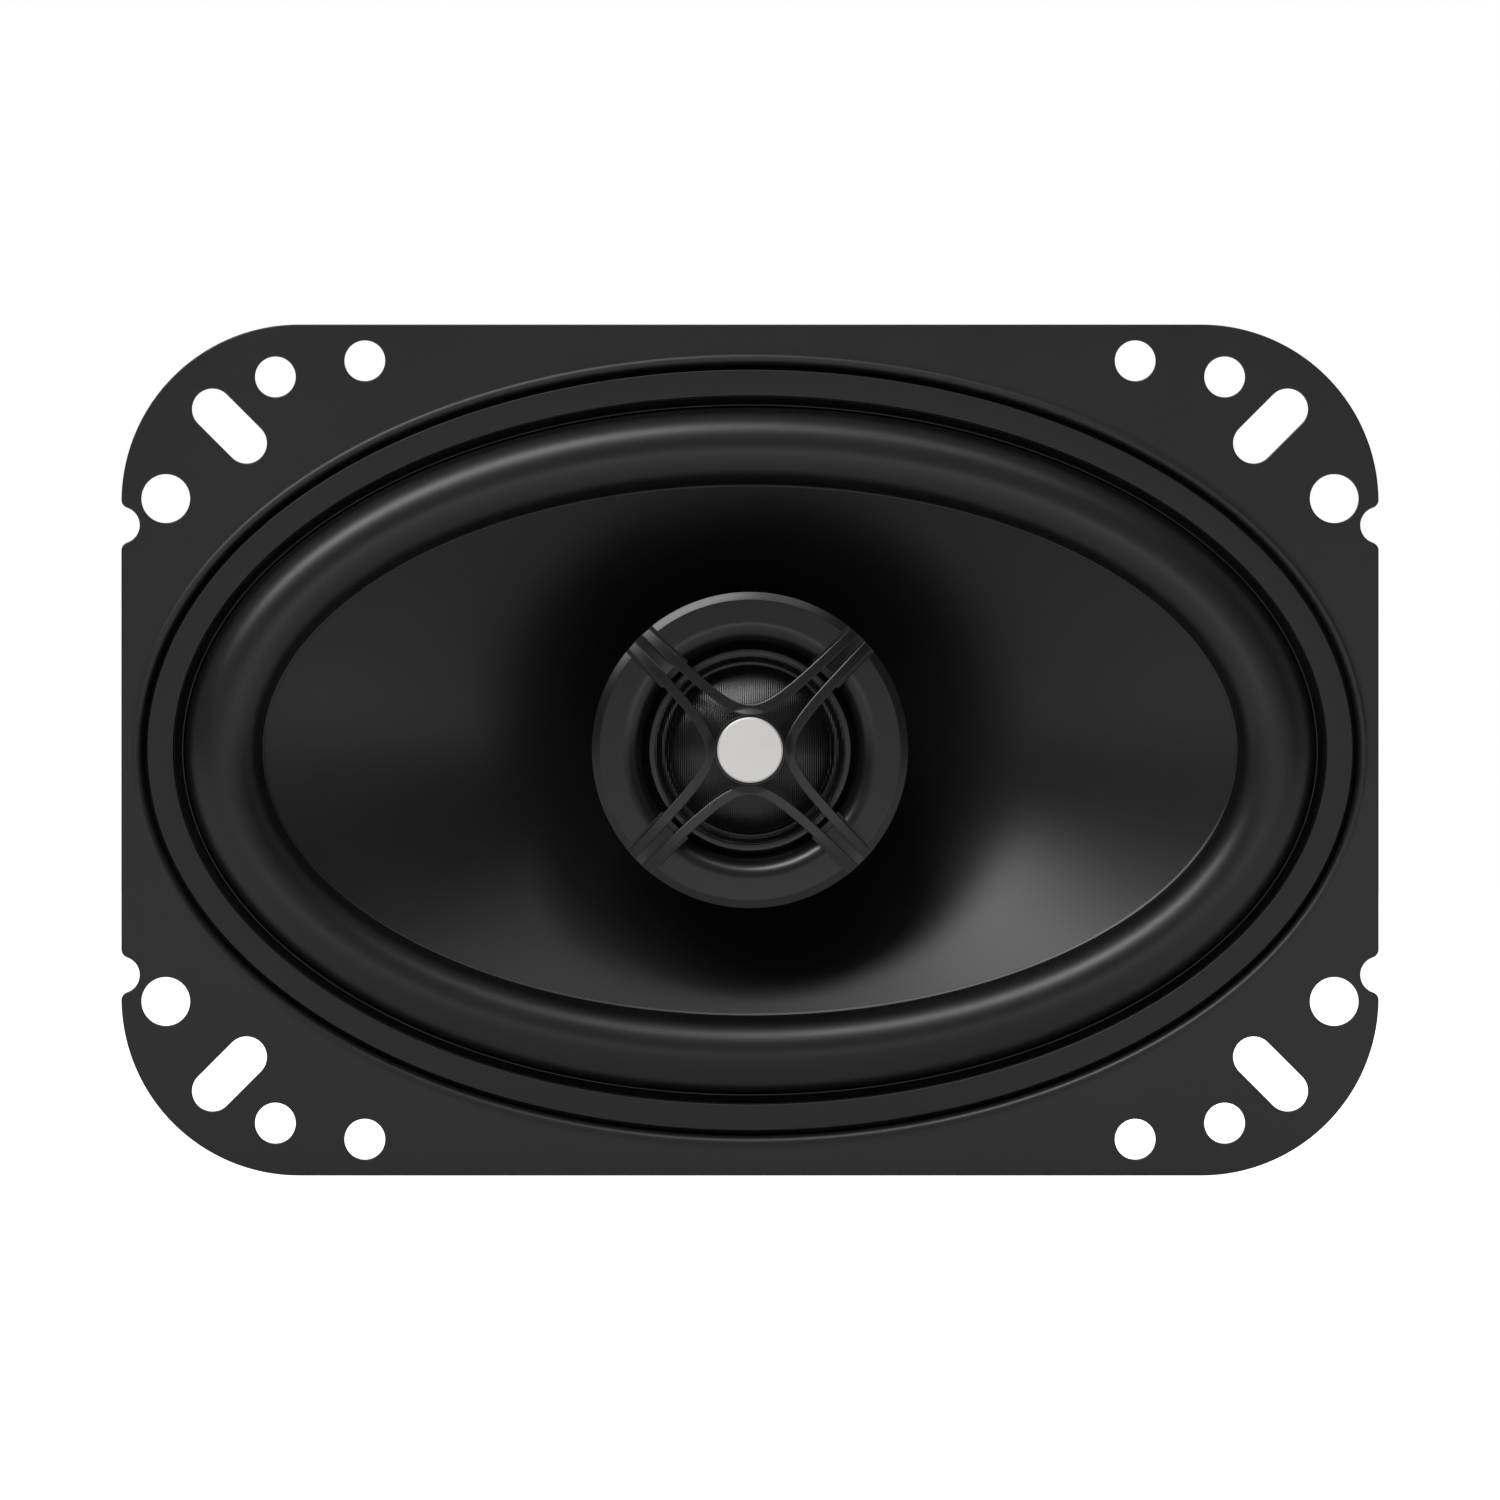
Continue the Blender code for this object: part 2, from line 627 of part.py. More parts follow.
def make_tweeter_post():
    profile = [
        (POST_BORE, HOUSING_REAR + 0.3),
        (9.0, HOUSING_REAR + 0.3),
        (9.0, HOUSING_REAR + 1.6),
        (POST_RADIUS + 0.6, HOUSING_REAR + 2.6),
        (POST_RADIUS, HOUSING_REAR + 4.0),
        (POST_RADIUS, 24.0),
        (8.0, POLE_FRONT - 1.5),
        (8.0, POLE_FRONT - 0.3),
        (POST_TAIL_RADIUS, POLE_FRONT - 0.3),
        (POST_TAIL_RADIUS, POST_TAIL_REAR),
        (POST_BORE, POST_TAIL_REAR),
    ]
    turned("tweeter_post", profile, PLASTIC, SMALL_ROUND)
    bore, front, rear = POST_TAIL_RADIUS + 0.3, YOKE_REAR + 0.2, YOKE_REAR + 0.7
    washer("post_washer", bore, 8.4, front, rear, PLATED, SMALL_ROUND)
    nut = prism("post_nut", circle(0.0, 0.0, 7.0, 6), YOKE_REAR + 0.9, POST_TAIL_REAR, PLATED)
    hole = prism("nut_bore", circle(0.0, 0.0, bore, SMALL_ROUND), 45, 60, STEEL)
    boolean(nut, as_cutter(hole), "DIFFERENCE")


def make_tweeter_housing():
    """A moulded cup: bezel with four arm channels, a curved throat, and the pocket for the motor."""
    throat = []
    for step in range(5):
        turn = math.radians(90 * step / 4)
        reach = BEZEL_INNER - POCKET_RADIUS - 0.2
        throat.append((BEZEL_INNER - reach * math.sin(turn), -2.8 + (BEZEL_FRONT + 2.8) * math.cos(turn)))
    profile = [
        (TWEETER_RADIUS - 1.0, BEZEL_FRONT),
        *throat,
        (POCKET_RADIUS, -2.8),
        (POCKET_RADIUS, -0.6),
        (MOTOR_POCKET_RADIUS, -0.6),
        (MOTOR_POCKET_RADIUS, 6.0),
        (POST_BORE, 6.0),
        (POST_BORE, HOUSING_REAR),
        (14.0, HOUSING_REAR),
        (17.6, HOUSING_REAR - 2.6),
        (TWEETER_RADIUS - 0.4, 1.0),
        (TWEETER_RADIUS, -1.0),
        (TWEETER_RADIUS, BEZEL_FRONT + 0.55),
    ]
    housing = turned("tweeter_housing", profile, PLASTIC)
    channels = []
    for index in range(4):
        turn = math.radians(45 + 90 * index)
        centre = (17.5 * math.cos(turn), 17.5 * math.sin(turn))
        outline = slot_outline(*centre, CHANNEL_HALF_WIDTH, 8.0, 45 + 90 * index, 1)
        channels.append(prism("channel", outline, BEZEL_FRONT - 2, BEZEL_FRONT + 0.9, STEEL))
    boolean(housing, joined("channel_cutters", channels), "DIFFERENCE")


def guard_outline(reach):
    """Four arms on the diagonals. Between two arms the edge is one branch of a hyperbola."""
    outline = []
    root = math.sqrt(ARM_FLARE)
    end = math.log((reach - ARM_HALF_WIDTH) / root)
    for quadrant in range(4):
        for step in range(13):
            s = end * (1 - step / 6)
            u, v = ARM_HALF_WIDTH + root * math.exp(s), ARM_HALF_WIDTH + root * math.exp(-s)
            turn = math.radians(45 + 90 * quadrant)
            x = u * math.cos(turn) - v * math.sin(turn)
            z = u * math.sin(turn) + v * math.cos(turn)
            outline.append((x, z))
    return outline


def groove_cutter(angle):
    """The gap between an arm's two ribs: right through near the hub, and with a floor over the bezel."""
    side = [
        (GROOVE_START, -12),
        (24.0, -12),
        (24.0, BEZEL_FRONT + 0.05),
        (GROOVE_FLOOR_START, BEZEL_FRONT + 0.05),
        (GROOVE_FLOOR_START, -4),
        (GROOVE_START, -4),
    ]
    turn = math.radians(angle)
    points = []
    for across in (-ARM_GROOVE, ARM_GROOVE):
        for along, y in side:
            x = along * math.cos(turn) - across * math.sin(turn)
            z = along * math.sin(turn) + across * math.cos(turn)
            points.append((x, y, z))
    count = len(side)
    faces = [tuple(range(count)), tuple(range(count, 2 * count))]
    for step in range(count):
        after = (step + 1) % count
        faces.append((step, after, count + after, count + step))
    return object_of("groove", points, faces, STEEL)


def make_tweeter_guard():
    guard = prism("tweeter_guard", guard_outline(TWEETER_RADIUS + 1.5), -12, -4, PLASTIC)
    lens = [
        (0.5, HUB_FRONT),
        (5.0, HUB_FRONT),
        (9.0, HUB_FRONT + 0.5),
        (14.4, BEZEL_FRONT - 0.75),
        (TWEETER_RADIUS - 1.0, BEZEL_FRONT - 0.6),
        (TWEETER_RADIUS - 0.2, BEZEL_FRONT + 0.3),
        (TWEETER_RADIUS - 0.2, BEZEL_FRONT + 0.6),
        (13.2, BEZEL_FRONT + 0.6),
        (9.0, BEZEL_FRONT - 0.1),
        (5.0, BEZEL_FRONT - 0.6),
        (0.5, BEZEL_FRONT - 0.6),
    ]
    boolean(guard, as_cutter(turned("guard_lens", lens, STEEL, MEDIUM_ROUND, closed=False)), "INTERSECT")
    pieces = [prism("seat", circle(0.0, 0.0, BADGE_SEAT_RADIUS, SMALL_ROUND), -12, HUB_FRONT + 0.6, STEEL)]
    pieces += [groove_cutter(45 + 90 * index) for index in range(4)]
    boolean(guard, joined("guard_cutters", pieces), "DIFFERENCE")
    disc("hub_badge", BADGE_RADIUS, HUB_FRONT - 0.3, HUB_FRONT + 0.3, SATIN, SMALL_ROUND, 0.15)


def dome_shell(radius, apex, rim):
    """Points from near the apex out to the rim, on part of a sphere."""
    height = rim - apex
    sphere = (radius**2 + height**2) / (2 * height)
    opening = math.asin(radius / sphere)
    turns = [opening * (0.06 + 0.94 * step / 4) for step in range(5)]
    return [(sphere * math.sin(turn), apex + sphere * (1 - math.cos(turn))) for turn in turns]


def make_tweeter_unit():
    outside = dome_shell(DOME_RADIUS, DOME_APEX, DOME_RIM)
    inside = dome_shell(DOME_RADIUS - 0.1, DOME_APEX + 0.4, DOME_RIM + 0.25)
    turned("tweeter_dome", outside + inside[::-1], SILK, MEDIUM_ROUND, closed=False)
    roll = [(10.2, -1.35), (10.6, -1.9), (11.3, -1.9), (11.6, -1.3), (12.6, -1.2)]
    roll_rear = [(12.6, -0.9), (11.5, -0.95), (11.1, -1.5), (10.8, -1.5), (10.2, -1.05)]
    turned("tweeter_surround", roll + roll_rear, SILK)
    ring = [(11.75, -1.5), (11.75, -3.2), (12.0, -3.4), (12.6, -3.2), (12.6, -1.5)]
    turned("tweeter_clamp_ring", ring, PLASTIC)
    washer("tweeter_coil", 9.3, 9.6, -0.85, 1.3, COPPER)
    disc("tweeter_pole_cap", 9.0, 0.1, 1.1, PLATED, MEDIUM_ROUND, 0.2)
    disc("tweeter_magnet", 8.6, 1.4, 3.7, NICKEL, MEDIUM_ROUND, 0.2)
    cup = [(0.5, 5.6), (11.3, 5.6), (11.3, -0.3), (9.9, -0.3), (9.9, 4.0), (0.5, 4.0)]
    turned("tweeter_yoke", cup, PLATED, MEDIUM_ROUND, closed=False)


clear_scene()
STEEL = material("black_coated_steel", (0.045, 0.045, 0.047), 0.45)
FIBRE = material("black_gasket_fibre", (0.03, 0.03, 0.031), 0.6)
RUBBER = material("black_rubber", (0.02, 0.02, 0.021), 0.42)
PAPER = material("black_coated_pulp", (0.015, 0.015, 0.016), 0.4)
CLOTH = material("resin_treated_cotton", (0.42, 0.28, 0.11), 0.85)
FOIL = material("aluminium_foil", (0.6, 0.6, 0.6), 0.35, 1.0)
COPPER = material("enamelled_copper", (0.52, 0.2, 0.08), 0.35, 1.0)
PLATED = material("zinc_plated_steel", (0.5, 0.49, 0.45), 0.4, 1.0)
FERRITE = material("ferrite", (0.045, 0.045, 0.048), 0.55)
PHENOLIC = material("phenolic_board", (0.18, 0.08, 0.03), 0.6)
TINNED = material("tinned_brass", (0.6, 0.58, 0.53), 0.3, 1.0)
SLEEVE = material("printed_film_sleeve", (0.02, 0.05, 0.16), 0.35)
TINSEL = material("braided_tinsel", (0.45, 0.3, 0.18), 0.5, 1.0)
RED_WIRE = material("red_insulation", (0.35, 0.02, 0.015), 0.5)
BLACK_WIRE = material("black_insulation", (0.012, 0.012, 0.012), 0.5)
PLASTIC = material("black_moulded_plastic", (0.025, 0.025, 0.026), 0.4)
SATIN = material("satin_aluminium", (0.72, 0.71, 0.69), 0.3, 1.0)
SILK = material("coated_silk", (0.03, 0.03, 0.032), 0.5)
NICKEL = material("nickel_plated_magnet", (0.62, 0.6, 0.55), 0.25, 1.0)

stake_holes = stake_cutters()
make_basket(stake_holes)
make_gasket_ring()
make_surround()
make_cone()
make_spider()
make_voice_coil()
make_motor(stake_holes)
make_terminals()
make_capacitor()
make_tinsel_leads()
make_tweeter_wires()
make_tweeter_post()
make_tweeter_housing()
make_tweeter_guard()
make_tweeter_unit()
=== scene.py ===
"""The looks of a two-way coaxial car speaker for a 4 by 6 inch opening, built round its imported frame.

The front faces -Y and the long way of the plate is X. Sizes are in millimetres unless a line says otherwise.
"""

import math

import bmesh
import bpy
import numpy as np
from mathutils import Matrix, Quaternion, Vector


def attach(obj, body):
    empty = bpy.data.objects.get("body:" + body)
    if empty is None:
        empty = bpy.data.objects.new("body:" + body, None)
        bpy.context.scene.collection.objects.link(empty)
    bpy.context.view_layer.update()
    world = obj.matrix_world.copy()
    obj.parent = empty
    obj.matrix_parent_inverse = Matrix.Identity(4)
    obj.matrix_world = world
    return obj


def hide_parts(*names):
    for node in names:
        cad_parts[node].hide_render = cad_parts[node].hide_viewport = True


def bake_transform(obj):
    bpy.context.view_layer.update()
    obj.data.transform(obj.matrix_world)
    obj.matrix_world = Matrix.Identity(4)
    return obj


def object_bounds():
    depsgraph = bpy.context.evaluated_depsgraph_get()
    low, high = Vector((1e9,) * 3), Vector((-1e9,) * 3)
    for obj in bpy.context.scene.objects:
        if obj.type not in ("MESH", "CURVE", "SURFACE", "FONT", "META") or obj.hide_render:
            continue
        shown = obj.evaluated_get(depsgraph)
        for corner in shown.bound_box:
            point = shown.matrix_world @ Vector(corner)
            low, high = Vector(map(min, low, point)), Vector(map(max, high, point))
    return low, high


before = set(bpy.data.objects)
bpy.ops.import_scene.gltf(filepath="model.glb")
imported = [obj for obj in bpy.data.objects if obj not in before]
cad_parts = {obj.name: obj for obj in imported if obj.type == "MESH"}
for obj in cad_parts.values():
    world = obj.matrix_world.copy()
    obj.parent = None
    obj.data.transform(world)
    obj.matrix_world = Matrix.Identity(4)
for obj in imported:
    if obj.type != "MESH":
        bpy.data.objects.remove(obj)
cad_low, cad_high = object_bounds()


# ---- Studio ----------------------------------------------------------------------------------------------
# The speaker stands on its flange's lower edge on a pale floor. A wide oval lamp high on the left is the
# key light, and a weaker one high on the right, one behind and a thin one low in front answer it. Lengths
# here are in metres.

CAMERA_DISTANCE, SEEN_WIDTH = 2.0, 0.1862
SENSOR = 36.0  # in millimetres, as Blender has it

lens = bpy.data.cameras.new("camera")
lens.sensor_width = SENSOR
lens.lens = SENSOR * CAMERA_DISTANCE / SEEN_WIDTH
camera = bpy.data.objects.new("camera", lens)
camera.location = (0.0, -CAMERA_DISTANCE, 0.0)
camera.rotation_euler = (math.radians(90), 0.0, 0.0)
bpy.context.scene.collection.objects.link(camera)
bpy.context.scene.camera = camera
bpy.context.scene.view_settings.view_transform = "Standard"


def soft_light(name, toward, distance, size, lean, watts):
    """An oval lamp that faces the speaker, turned by lean degrees about its own axis."""
    lamp = bpy.data.lights.new(name, "AREA")
    lamp.shape = "ELLIPSE"
    lamp.size, lamp.size_y = size
    lamp.energy = watts
    stand = bpy.data.objects.new(name, lamp)
    stand.location = Vector(toward).normalized() * distance
    aim = (-stand.location).to_track_quat("-Z", "Y") @ Quaternion((0.0, 0.0, 1.0), math.radians(lean))
    stand.rotation_euler = aim.to_euler()
    stand.visible_camera = False
    bpy.context.scene.collection.objects.link(stand)


soft_light("light_high_left", (-0.36, -0.606, 0.715), distance=1.1, size=(0.95, 0.28), lean=38, watts=6.6)
soft_light("light_high_right", (0.2, -0.584, 0.775), distance=1.1, size=(0.34, 0.3), lean=0, watts=0.6)
soft_light("light_behind", (0.5, 0.8, 0.6), distance=1.2, size=(0.9, 0.6), lean=0, watts=4.0)
soft_light("light_low_front", (0.04, -0.28, -0.034), distance=0.285, size=(0.4, 0.026), lean=0, watts=0.04)


def worked(tree, operation, *values, kind="ShaderNodeMath"):
    """A maths node. Each of its values is a number, a vector or another node's output."""
    node = tree.nodes.new(kind)
    node.operation = operation
    for socket, value in zip(node.inputs, values):
        if isinstance(value, bpy.types.NodeSocket):
            tree.links.new(value, socket)
        else:
            socket.default_value = value
    return node.outputs


# The walls glow ahead of the speaker and beside it, and are dim in a band between the two. The band's
# middle is where the cosine of the angle off the way ahead is DIM_AT. The camera itself sees the walls
# plain white.
DIM_AT, DIM_HALF, BRIGHT_FROM = 0.62, 0.08, 0.3
DIM_GLOW, BRIGHT_GLOW = 0.07, 0.26
WHITE = (1.0, 1.0, 1.0, 1.0)

walls = bpy.data.worlds.new("pale_walls")
walls.use_nodes = True
tree = walls.node_tree
lit_by = tree.nodes["Background"]
lit_by.inputs["Color"].default_value = WHITE
toward = tree.nodes.new("ShaderNodeTexCoord").outputs["Generated"]
ahead = worked(tree, "DOT_PRODUCT", toward, (0.0, -1.0, 0.0), kind="ShaderNodeVectorMath")["Value"]
off_band = worked(tree, "ABSOLUTE", worked(tree, "SUBTRACT", ahead, DIM_AT)["Value"])["Value"]
glow = tree.nodes.new("ShaderNodeMapRange")
glow.interpolation_type = "SMOOTHSTEP"
glow.inputs["From Min"].default_value = DIM_HALF
glow.inputs["From Max"].default_value = BRIGHT_FROM
glow.inputs["To Min"].default_value = DIM_GLOW
glow.inputs["To Max"].default_value = BRIGHT_GLOW
tree.links.new(off_band, glow.inputs["Value"])
tree.links.new(glow.outputs["Result"], lit_by.inputs["Strength"])
seen_as = tree.nodes.new("ShaderNodeBackground")
seen_as.inputs["Color"].default_value = WHITE
seen_as.inputs["Strength"].default_value = 1.0
which = tree.nodes.new("ShaderNodeMixShader")
tree.links.new(tree.nodes.new("ShaderNodeLightPath").outputs["Is Camera Ray"], which.inputs["Fac"])
tree.links.new(lit_by.outputs["Background"], which.inputs[1])
tree.links.new(seen_as.outputs["Background"], which.inputs[2])
tree.links.new(which.outputs["Shader"], tree.nodes["World Output"].inputs["Surface"])
bpy.context.scene.world = walls

FLOOR_HALF, FLOOR_GAP = 4.0, 0.0003
floor_z = cad_low.z - FLOOR_GAP
floor_mesh = bpy.data.meshes.new("floor")
floor_mesh.from_pydata(
    [(FLOOR_HALF * x, FLOOR_HALF * y, floor_z) for x, y in ((-1, -1), (1, -1), (1, 1), (-1, 1))],
    [],
    [(0, 1, 2, 3)],
)
floor = bpy.data.objects.new("floor", floor_mesh)
bpy.context.scene.collection.objects.link(floor)
paper = bpy.data.materials.new("pale_floor")
paper.use_nodes = True
sheen = paper.node_tree.nodes["Principled BSDF"]
sheen.inputs["Base Color"].default_value = (0.9, 0.9, 0.9, 1.0)
sheen.inputs["Roughness"].default_value = 0.8
sheen.inputs["Specular IOR Level"].default_value = 0.1
sheen.inputs["Emission Color"].default_value = WHITE
seen = paper.node_tree.nodes.new("ShaderNodeLightPath").outputs["Is Camera Ray"]
paper.node_tree.links.new(seen, sheen.inputs["Emission Strength"])
floor_mesh.materials.append(paper)


# ---- Basket ----------------------------------------------------------------------------------------------
# One deep pressing of 1 mm steel: the flange with its punched holes and notches, the oval recess with a low
# bead round its edge, the bowl with eight windows and beaded spokes, the spider shelf and the base. Black
# electrocoat.

MM = 0.001
QUADRANTS = ((1, 1), (-1, 1), (-1, -1), (1, -1))
STRETCH = 27.6  # every oval is this much longer than it is high, measured from its middle
FLANGE_X, FLANGE_Z, FLANGE_CORNER = 78.0, 52.8, 22.0
FLANGE_FRONT, FLAT_EDGE, LIP = -1.0, 0.27, 0.16
NOTCH_Z, NOTCH_RADIUS, NOTCH_MOUTH = 27.9, 2.27, 1.05
ROUND_HOLES = ((47.8, 48.3, 2.53), (58.9, 46.3, 2.53), (72.5, 31.2, 3.03))
SLOT_X, SLOT_Z, SLOT_RADIUS, SLOT_HALF = 64.6, 40.2, 2.53, 3.0
WALL_INSIDE = ((68.8, 1.95), (34.2, 21.2))
WALL_OUTSIDE = ((69.5, 2.9), (35.2, 22.0))
WALL_STEPS, SPOKE_TURN, BEAD_HEIGHT, BEAD_WIDTH, BEAD_END = 18, 45, 1.1, 2.2, 0.04
WINDOW_HALF_TURN, WINDOW_FRONT, WINDOW_REAR = 14.5, 5.6, 19.0
WINDOW_ROUND_ACROSS, WINDOW_ROUND_ALONG, WINDOW_REACH = 0.24, 0.32, (20.0, 90.0)
STAKE_CIRCLE, STAKE_HOLE = 22.0, 1.7
BOARD_RIVET_X, BOARD_RIVET_Z, RIVET_HOLE = -41.0, 3.6, 1.3
OVAL_POINTS = 240
stake_side = STAKE_CIRCLE * math.sqrt(0.5)
STAKES = [(stake_side * side_x, stake_side * side_z) for side_x, side_z in QUADRANTS]


def arc(x, z, radius, start, end, steps):
    """Points (x, z) on an arc from one angle to another, in degrees."""
    turns = [math.radians(start + (end - start) * step / steps) for step in range(steps + 1)]
    return [(x + radius * math.cos(turn), z + radius * math.sin(turn)) for turn in turns]


def circle(x, z, radius, count=48):
    """Points (x, z) round a circle."""
    return arc(x, z, radius, 0, 360 - 360 / count, count - 1)


def box_outline(low_x, high_x, half_z, corner, steps=6):
    """A rectangle from low_x to high_x with rounded corners."""
    outline = arc(high_x - corner, half_z - corner, corner, 0, 90, steps)
    outline += arc(low_x + corner, half_z - corner, corner, 90, 180, steps)
    outline += arc(low_x + corner, corner - half_z, corner, 180, 270, steps)
    return outline + arc(high_x - corner, corner - half_z, corner, 270, 360, steps)


def flange_outline():
    """Counter-clockwise, one quadrant mirrored to the others."""
    rise = math.sqrt((NOTCH_RADIUS + NOTCH_MOUTH) ** 2 - NOTCH_MOUTH**2)
    lean = math.degrees(math.atan2(rise, NOTCH_MOUTH))
    mouth_x = FLANGE_X - NOTCH_MOUTH
    corner_z = FLANGE_Z - FLANGE_CORNER
    start = math.degrees(math.asin((NOTCH_Z + rise - corner_z) / FLANGE_CORNER))
    quadrant = arc(mouth_x, NOTCH_Z - rise, NOTCH_MOUTH, 0, lean, 8)
    quadrant += arc(FLANGE_X, NOTCH_Z, NOTCH_RADIUS, 180 + lean, 180 - lean, 20)[1:-1]
    quadrant += arc(mouth_x, NOTCH_Z + rise, NOTCH_MOUTH, -lean, 0, 8)
    quadrant += arc(FLANGE_X - FLANGE_CORNER, corner_z, FLANGE_CORNER, start, 90, 40)[1:]
    outline = []
    for side_x, side_z in QUADRANTS:
        outline += [(side_x * x, side_z * z) for x, z in quadrant[:: side_x * side_z]]
    return outline


def slot(x, z, angle):
    """A slotted hole's outline, its length turned by an angle in degrees."""
    ends = []
    for side, start in ((1, -90), (-1, 90)):
        centre_x = x + side * SLOT_HALF * math.cos(math.radians(angle))
        centre_z = z + side * SLOT_HALF * math.sin(math.radians(angle))
        ends += arc(centre_x, centre_z, SLOT_RADIUS, angle + start, angle + start + 180, 24)
    return ends


def shifted(outline, distance):
    """A counter-clockwise outline moved outwards by a distance."""
    moved = []
    for before, (x, z), after in zip(outline[-1:] + outline[:-1], outline, outline[1:] + outline[:1]):
        along = Vector((after[0] - before[0], after[1] - before[1])).normalized()
        moved.append((x + along.y * distance, z - along.x * distance))
    return moved


def rounded(corners, steps=5):
    """A closed profile of (size, y) from corners of (size, y, rounding)."""
    profile = []
    for before, corner, after in zip(corners[-1:] + corners[:-1], corners, corners[1:] + corners[:1]):
        here, last, following = (Vector(point[:2]) for point in (corner, before, after))
        cut = min(corner[2], 0.48 * (last - here).length, 0.48 * (following - here).length)
        if cut <= 0:
            profile.append(tuple(here))
            continue
        begin = here + (last - here).normalized() * cut
        end = here + (following - here).normalized() * cut
        for step in range(steps + 1):
            t = step / steps
            profile.append(tuple(begin * (1 - t) ** 2 + here * 2 * t * (1 - t) + end * t**2))
    return profile


def ring(half_x, half_z, y, count):
    """Points round an ellipse at one depth y."""
    turns = [2 * math.pi * step / count for step in range(count)]
    return [Vector((half_x * math.cos(turn), y, half_z * math.sin(turn))) for turn in turns]


def oval(half_x, y):
    """A ring of the oval family that the recess, the gasket ring and the surround share."""
    return ring(half_x, half_x - STRETCH, y, OVAL_POINTS)


def mesh_piece(name, points, faces, sharp=35):
    """An object from points in millimetres, with its faces outwards and its round surfaces smooth."""
    mesh = bpy.data.meshes.new(name)
    mesh.from_pydata([Vector(point) * MM for point in points], [], faces)
    shape = bmesh.new()
    shape.from_mesh(mesh)
    bmesh.ops.recalc_face_normals(shape, faces=shape.faces)
    if shape.calc_volume(signed=True) < 0:
        bmesh.ops.reverse_faces(shape, faces=shape.faces)
    shape.to_mesh(mesh)
    shape.free()
    mesh.shade_smooth()
    mesh.set_sharp_from_angle(angle=math.radians(sharp))
    made = bpy.data.objects.new(name, mesh)
    bpy.context.scene.collection.objects.link(made)
    return made


def row_faces(rows, count, closed):
    """The faces between neighbouring rows, each a ring of count points."""
    faces = []
    for row in range(rows if closed else rows - 1):
        here, following = row * count, (row + 1) % rows * count
        faces += [
            (here + step, here + (step + 1) % count, following + (step + 1) % count, following + step)
            for step in range(count)
        ]
    return faces


def skin(name, rows, closed=True, sharp=35):
    """Closed rings of points joined into one piece: back to the first ring, or capped at both ends."""
    count = len(rows[0])
    faces = row_faces(len(rows), count, closed)
    if not closed:
        last = (len(rows) - 1) * count
        faces += [tuple(range(count)), tuple(range(last, last + count))]
    return mesh_piece(name, [point for row in rows for point in row], faces, sharp)


def machined(item, tool, operation="DIFFERENCE", sharp=35):
    """item with the tool's shape cut away or added, and the tool used up."""
    modifier = item.modifiers.new("cut", "BOOLEAN")
    modifier.object = tool
    modifier.operation = operation
    modifier.solver = "EXACT"
    graph = bpy.context.evaluated_depsgraph_get()
    result = bpy.data.meshes.new_from_object(item.evaluated_get(graph))
    item.modifiers.clear()
    item.data = result
    result.shade_smooth()
    result.set_sharp_from_angle(angle=math.radians(sharp))
    bpy.data.objects.remove(tool, do_unlink=True)
    return item


def together(name, pieces):
    """Several separate pieces as one object."""
    shape = bmesh.new()
    for piece in pieces:
        bpy.context.view_layer.update()
        piece.data.transform(piece.matrix_world)
        shape.from_mesh(piece.data)
        bpy.data.objects.remove(piece, do_unlink=True)
    mesh = bpy.data.meshes.new(name)
    shape.to_mesh(mesh)
    shape.free()
    made = bpy.data.objects.new(name, mesh)
    bpy.context.scene.collection.objects.link(made)
    return made


def prism(name, outline, front, rear, lip=0.0, sharp=35):
    """An outline of (x, z) carried from y = front to y = rear, with its edges rounded by the lip."""
    sections = [(-lip, front), (-0.3 * lip, front + 0.3 * lip), (0, front + lip)] if lip else [(0, front)]
    sections += [(inset, front + rear - y) for inset, y in sections[::-1]]
    rows = []
    for inset, y in sections:
        rows.append([Vector((x, y, z)) for x, z in shifted(outline, inset)])
    return skin(name, rows, closed=False, sharp=sharp)


def punched(item, holes, front, rear):
    """item with holes of the given outlines through it, from y = front to y = rear."""
    punches = [prism("punch", hole, front, rear) for hole in holes]
    return machined(item, together("punches", punches))


def spoke_ring(share, wall):
    """A ring of the bowl's wall at a share of its depth, with a bead along the middle of each spoke."""
    (top_x, top_y), (foot_x, foot_y) = wall
    half_x = top_x + (foot_x - top_x) * share
    half_z = half_x - (1 - share) * STRETCH
    points = ring(half_x, half_z, top_y + (foot_y - top_y) * share, OVAL_POINTS)
    along = min(1.0, max(0.0, (share - BEAD_END) / (1 - 2 * BEAD_END)))
    swell = BEAD_HEIGHT * math.sin(math.pi * along) ** 0.5
    for point in points:
        turn = math.degrees(math.atan2(point.z / half_z, point.x / half_x))
        off_spoke = abs((turn + SPOKE_TURN / 2) % SPOKE_TURN - SPOKE_TURN / 2)
        point.y += swell * math.exp(-((math.radians(off_spoke) * half_x / BEAD_WIDTH) ** 2))
    return points


